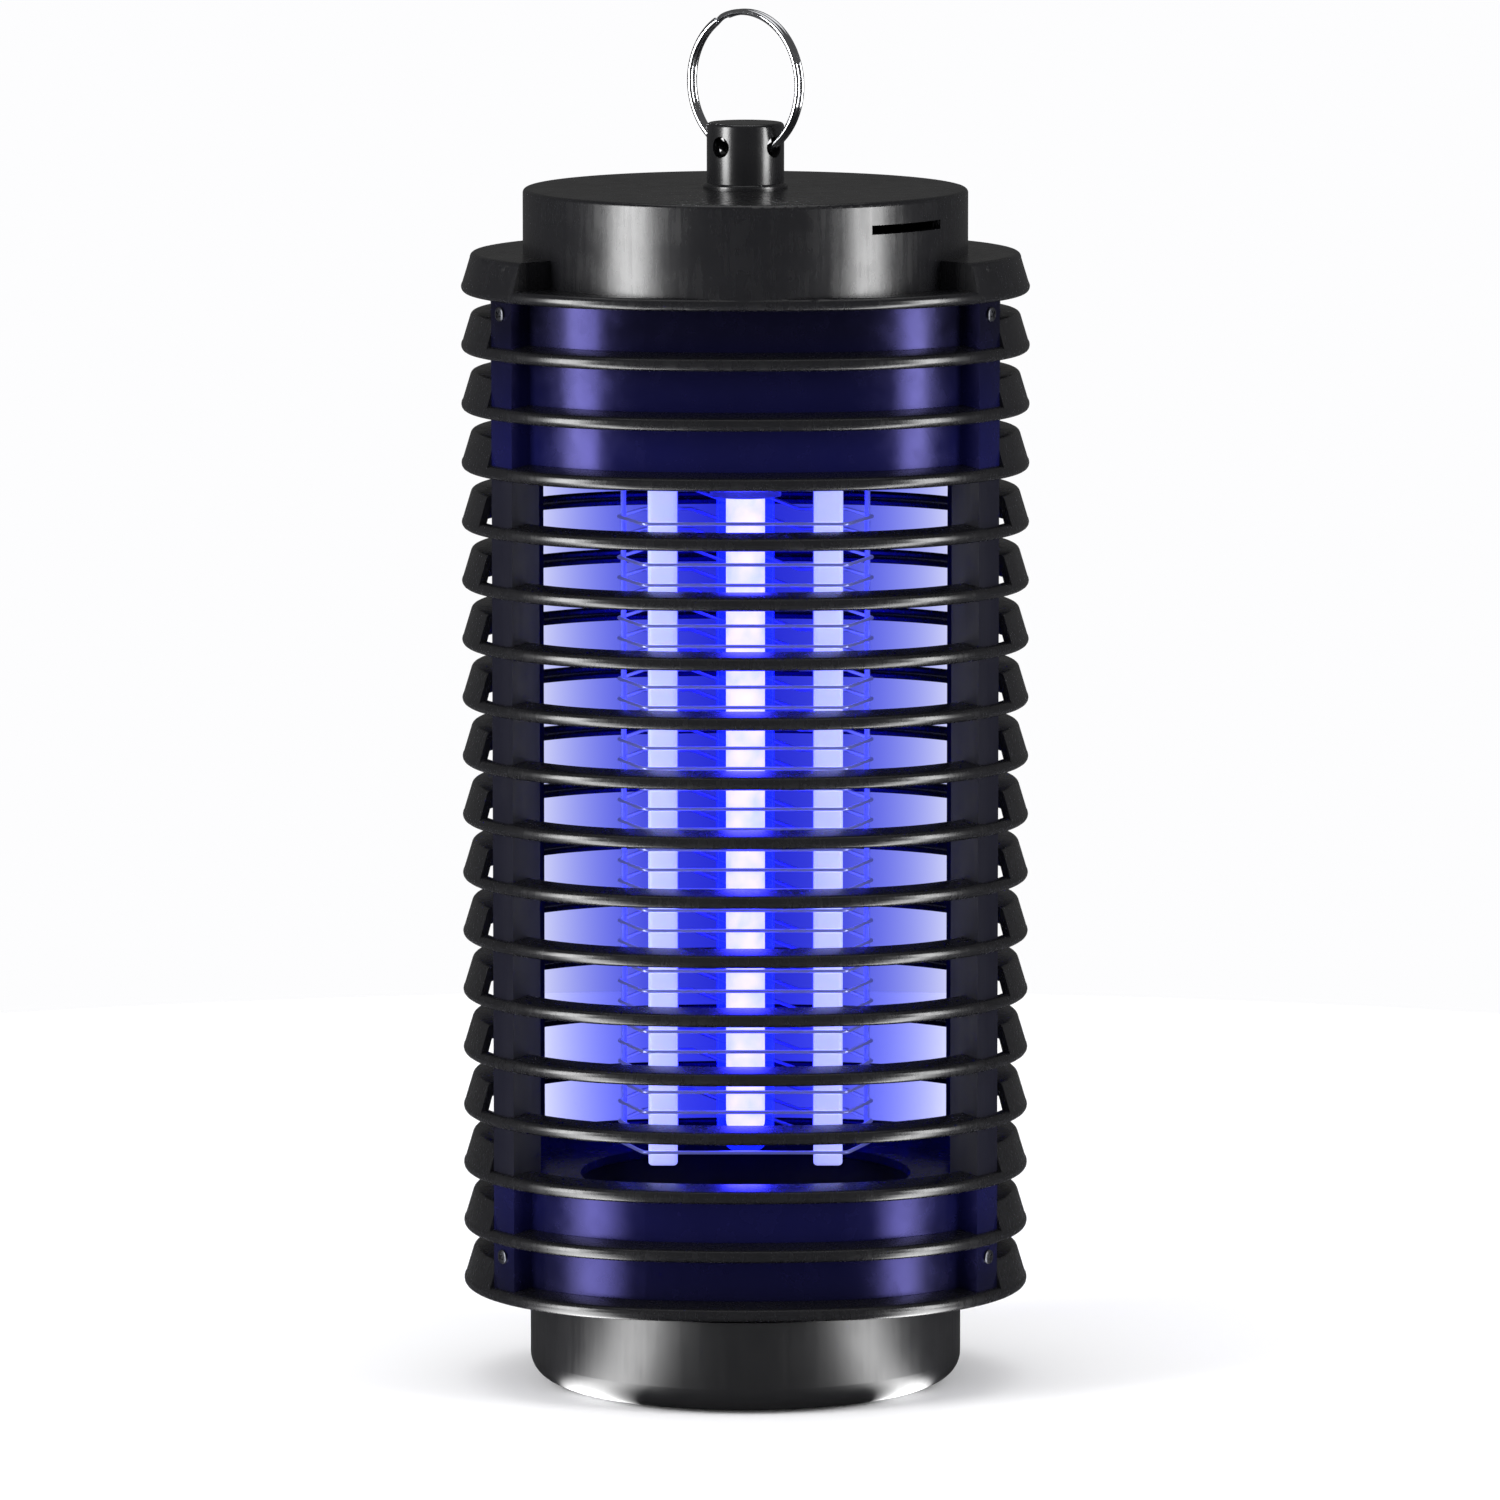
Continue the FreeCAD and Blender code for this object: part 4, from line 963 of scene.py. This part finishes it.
class LANTERN_OT_stage(bpy.types.Operator):
    """Camera, pale floor, sky, soft lights and the tinted air of the chamber"""
    bl_idname = "lantern.stage"
    bl_label = "Stage"

    def execute(self, context):
        scene = context.scene
        scene.view_settings.view_transform = "Standard"
        scene.view_settings.look = "None"
        camera = bpy.data.cameras.new("camera")
        view = bpy.data.objects.new("camera", camera)
        scene.collection.objects.link(view)
        view.location = CAMERA_PLACE
        view.rotation_euler = (Vector(CAMERA_TARGET) - view.location).to_track_quat("-Z", "Y").to_euler()
        camera.lens = CAMERA_LENS
        camera.clip_start = 0.05
        camera.clip_end = 60
        scene.camera = view

        world = bpy.data.worlds.new("studio")
        scene.world = world
        world.use_nodes = True
        tree = world.node_tree
        tree.nodes.clear()
        path = add(tree, "ShaderNodeLightPath")
        dim = add(tree, "ShaderNodeBackground", {"Color": srgb("#FFFFFF"), "Strength": SKY_IN_GLOSS})
        pale = add(tree, "ShaderNodeBackground", {"Color": srgb("#FDFDFE"), "Strength": SKY})
        seen = add(tree, "ShaderNodeMixShader", {0: path.outputs["Is Glossy Ray"], 1: pale.outputs[0],
                                                 2: dim.outputs[0]})
        add(tree, "ShaderNodeOutputWorld", {"Surface": seen.outputs[0]})

        work = bmesh.new()
        bmesh.ops.create_circle(work, cap_ends=True, segments=96, radius=FLOOR_RADIUS)
        mesh = bpy.data.meshes.new("floor")
        work.to_mesh(mesh)
        work.free()
        floor = bpy.data.objects.new("floor", mesh)
        scene.collection.objects.link(floor)
        material, tree, principled, place = new_material("painted_board", Roughness=0.55,
                                                         Specular_IOR_Level=0.3)
        tone = noise(tree, place, 400.0, 2.0)
        seen = blend(tree, tone, "#F0F0F2", "#F6F6F7")
        # Painted shade: in reflections the floor shows darker than it is, as if black flags stood round the
        # lantern.
        path = add(tree, "ShaderNodeLightPath")
        floor_painted_dark_in_gloss = add(tree, "ShaderNodeMix",
                      {0: path.outputs["Is Glossy Ray"], 6: seen, 7: srgb(FLOOR_IN_GLOSS)}, data_type="RGBA")
        feed(tree, principled, Base_Color=floor_painted_dark_in_gloss.outputs[2], Emission_Color=self.bounce(tree, place, path))
        principled.inputs["Emission Strength"].default_value = PATCH_STRENGTH
        material.cycles.emission_sampling = "NONE"
        mesh.materials.append(material)

        for name, azimuth, distance, wide, power in STRIPS:
            area_light(name, polar(azimuth, distance, 0.22), (0, 0, 0.15), wide, STRIP_HEIGHT, power)
        area_light("overhead", (0, 0.3, 2.2), (0, 0.1, 0), 1.6, 1.6, 8)
        self.haze()
        return {"FINISHED"}

    def bounce(self, tree, place, path):
        """Light that the strips throw on the floor, which only a gloss surface shows."""
        flat = add(tree, "ShaderNodeSeparateXYZ", {0: place})
        turn = add(tree, "ShaderNodeMath", {0: flat.outputs["X"], 1: flat.outputs["Y"]},
                   operation="ARCTAN2").outputs[0]
        patches = []
        for azimuth, half in PATCHES:
            centre = math.copysign(math.pi, azimuth) - math.radians(azimuth)
            away = add(tree, "ShaderNodeMath", {0: turn, 1: centre}, operation="SUBTRACT").outputs[0]
            off = add(tree, "ShaderNodeMath", {0: away}, operation="ABSOLUTE").outputs[0]
            patches.append(spread(tree, off, 1.0, 0.0, math.radians(half * 0.4), math.radians(half * 1.6)))
        both = add(tree, "ShaderNodeMath", {0: patches[0], 1: patches[1]}, operation="ADD").outputs[0]
        only = add(tree, "ShaderNodeMath", {0: both, 1: path.outputs["Is Glossy Ray"]},
                   operation="MULTIPLY").outputs[0]
        return blend(tree, only, "#000000", "#FFFFFF")

    def haze(self):
        """Air of the chamber, tinted by the lamp's light most near the lamp; it isn't part of the lantern."""
        work = bmesh.new()
        bottom = high("lower_wall").z + AIR_GAP
        top = low("ceiling_plate").z - AIR_GAP
        base = [work.verts.new((p.x * AIR_SHARE[0], p.y * AIR_SHARE[1], bottom)) for p in whole_oval()]
        face = work.faces.new(base)
        lifted = bmesh.ops.extrude_face_region(work, geom=[face])
        bmesh.ops.translate(work, vec=(0, 0, top - bottom),
                            verts=[g for g in lifted["geom"] if isinstance(g, bmesh.types.BMVert)])
        bmesh.ops.recalc_face_normals(work, faces=work.faces)
        mesh = bpy.data.meshes.new("lit_air")
        work.to_mesh(mesh)
        work.free()
        air = bpy.data.objects.new("lit_air", mesh)
        bpy.context.scene.collection.objects.link(air)
        material = bpy.data.materials.new("lit_air")
        material.use_nodes = True
        tree = material.node_tree
        tree.nodes.clear()
        place = add(tree, "ShaderNodeTexCoord").outputs["Object"]
        flat = add(tree, "ShaderNodeVectorMath", {0: place, 1: (1.0, 1.0, 0.0)}, operation="MULTIPLY")
        away = add(tree, "ShaderNodeVectorMath", {0: flat.outputs[0]}, operation="LENGTH").outputs["Value"]
        density = spread(tree, away, AIR_DENSITY, 0.0, 0.0, AIR_REACH)
        tint = add(tree, "ShaderNodeVolumeAbsorption", {"Color": (0.14, 0.2, 0.915, 1.0), "Density": density})
        add(tree, "ShaderNodeOutputMaterial", {"Volume": tint.outputs[0]})
        mesh.materials.append(material)


# ---------------------------------------------------------------- panel and registration
OPERATORS = [LANTERN_OT_stage, LANTERN_OT_finishes, LANTERN_OT_louvres, LANTERN_OT_electrodes,
             LANTERN_OT_ring, LANTERN_OT_screws, LANTERN_OT_feet, LANTERN_OT_lamp]


class LANTERN_PT_panel(bpy.types.Panel):
    """Lists the lantern's settings and the operators that build it"""
    bl_idname = "LANTERN_PT_panel"
    bl_label = "Insect lantern"
    bl_space_type = "VIEW_3D"
    bl_region_type = "UI"
    bl_category = "Lantern"

    def draw(self, context):
        for group in ("louvres", "grid", "lamp", "housing"):
            box = self.layout.box()
            values = getattr(context.scene.lantern, group)
            for name in values.bl_rna.properties.keys():
                if name not in ("rna_type", "name"):
                    box.prop(values, name)
        for operator in OPERATORS:
            self.layout.operator(operator.bl_idname)


CLASSES = [LouvreSettings, GridSettings, LampSettings, HousingSettings, LanternSettings,
           *OPERATORS, LANTERN_PT_panel]


def register():
    for one in CLASSES:
        bpy.utils.register_class(one)
    bpy.types.Scene.lantern = PointerProperty(type=LanternSettings)


def unregister():
    del bpy.types.Scene.lantern
    for one in reversed(CLASSES):
        bpy.utils.unregister_class(one)


def main():
    register()
    for operator in OPERATORS:
        category, name = operator.bl_idname.split(".")
        getattr(getattr(bpy.ops, category), name)()


if __name__ == "__main__":
    main()
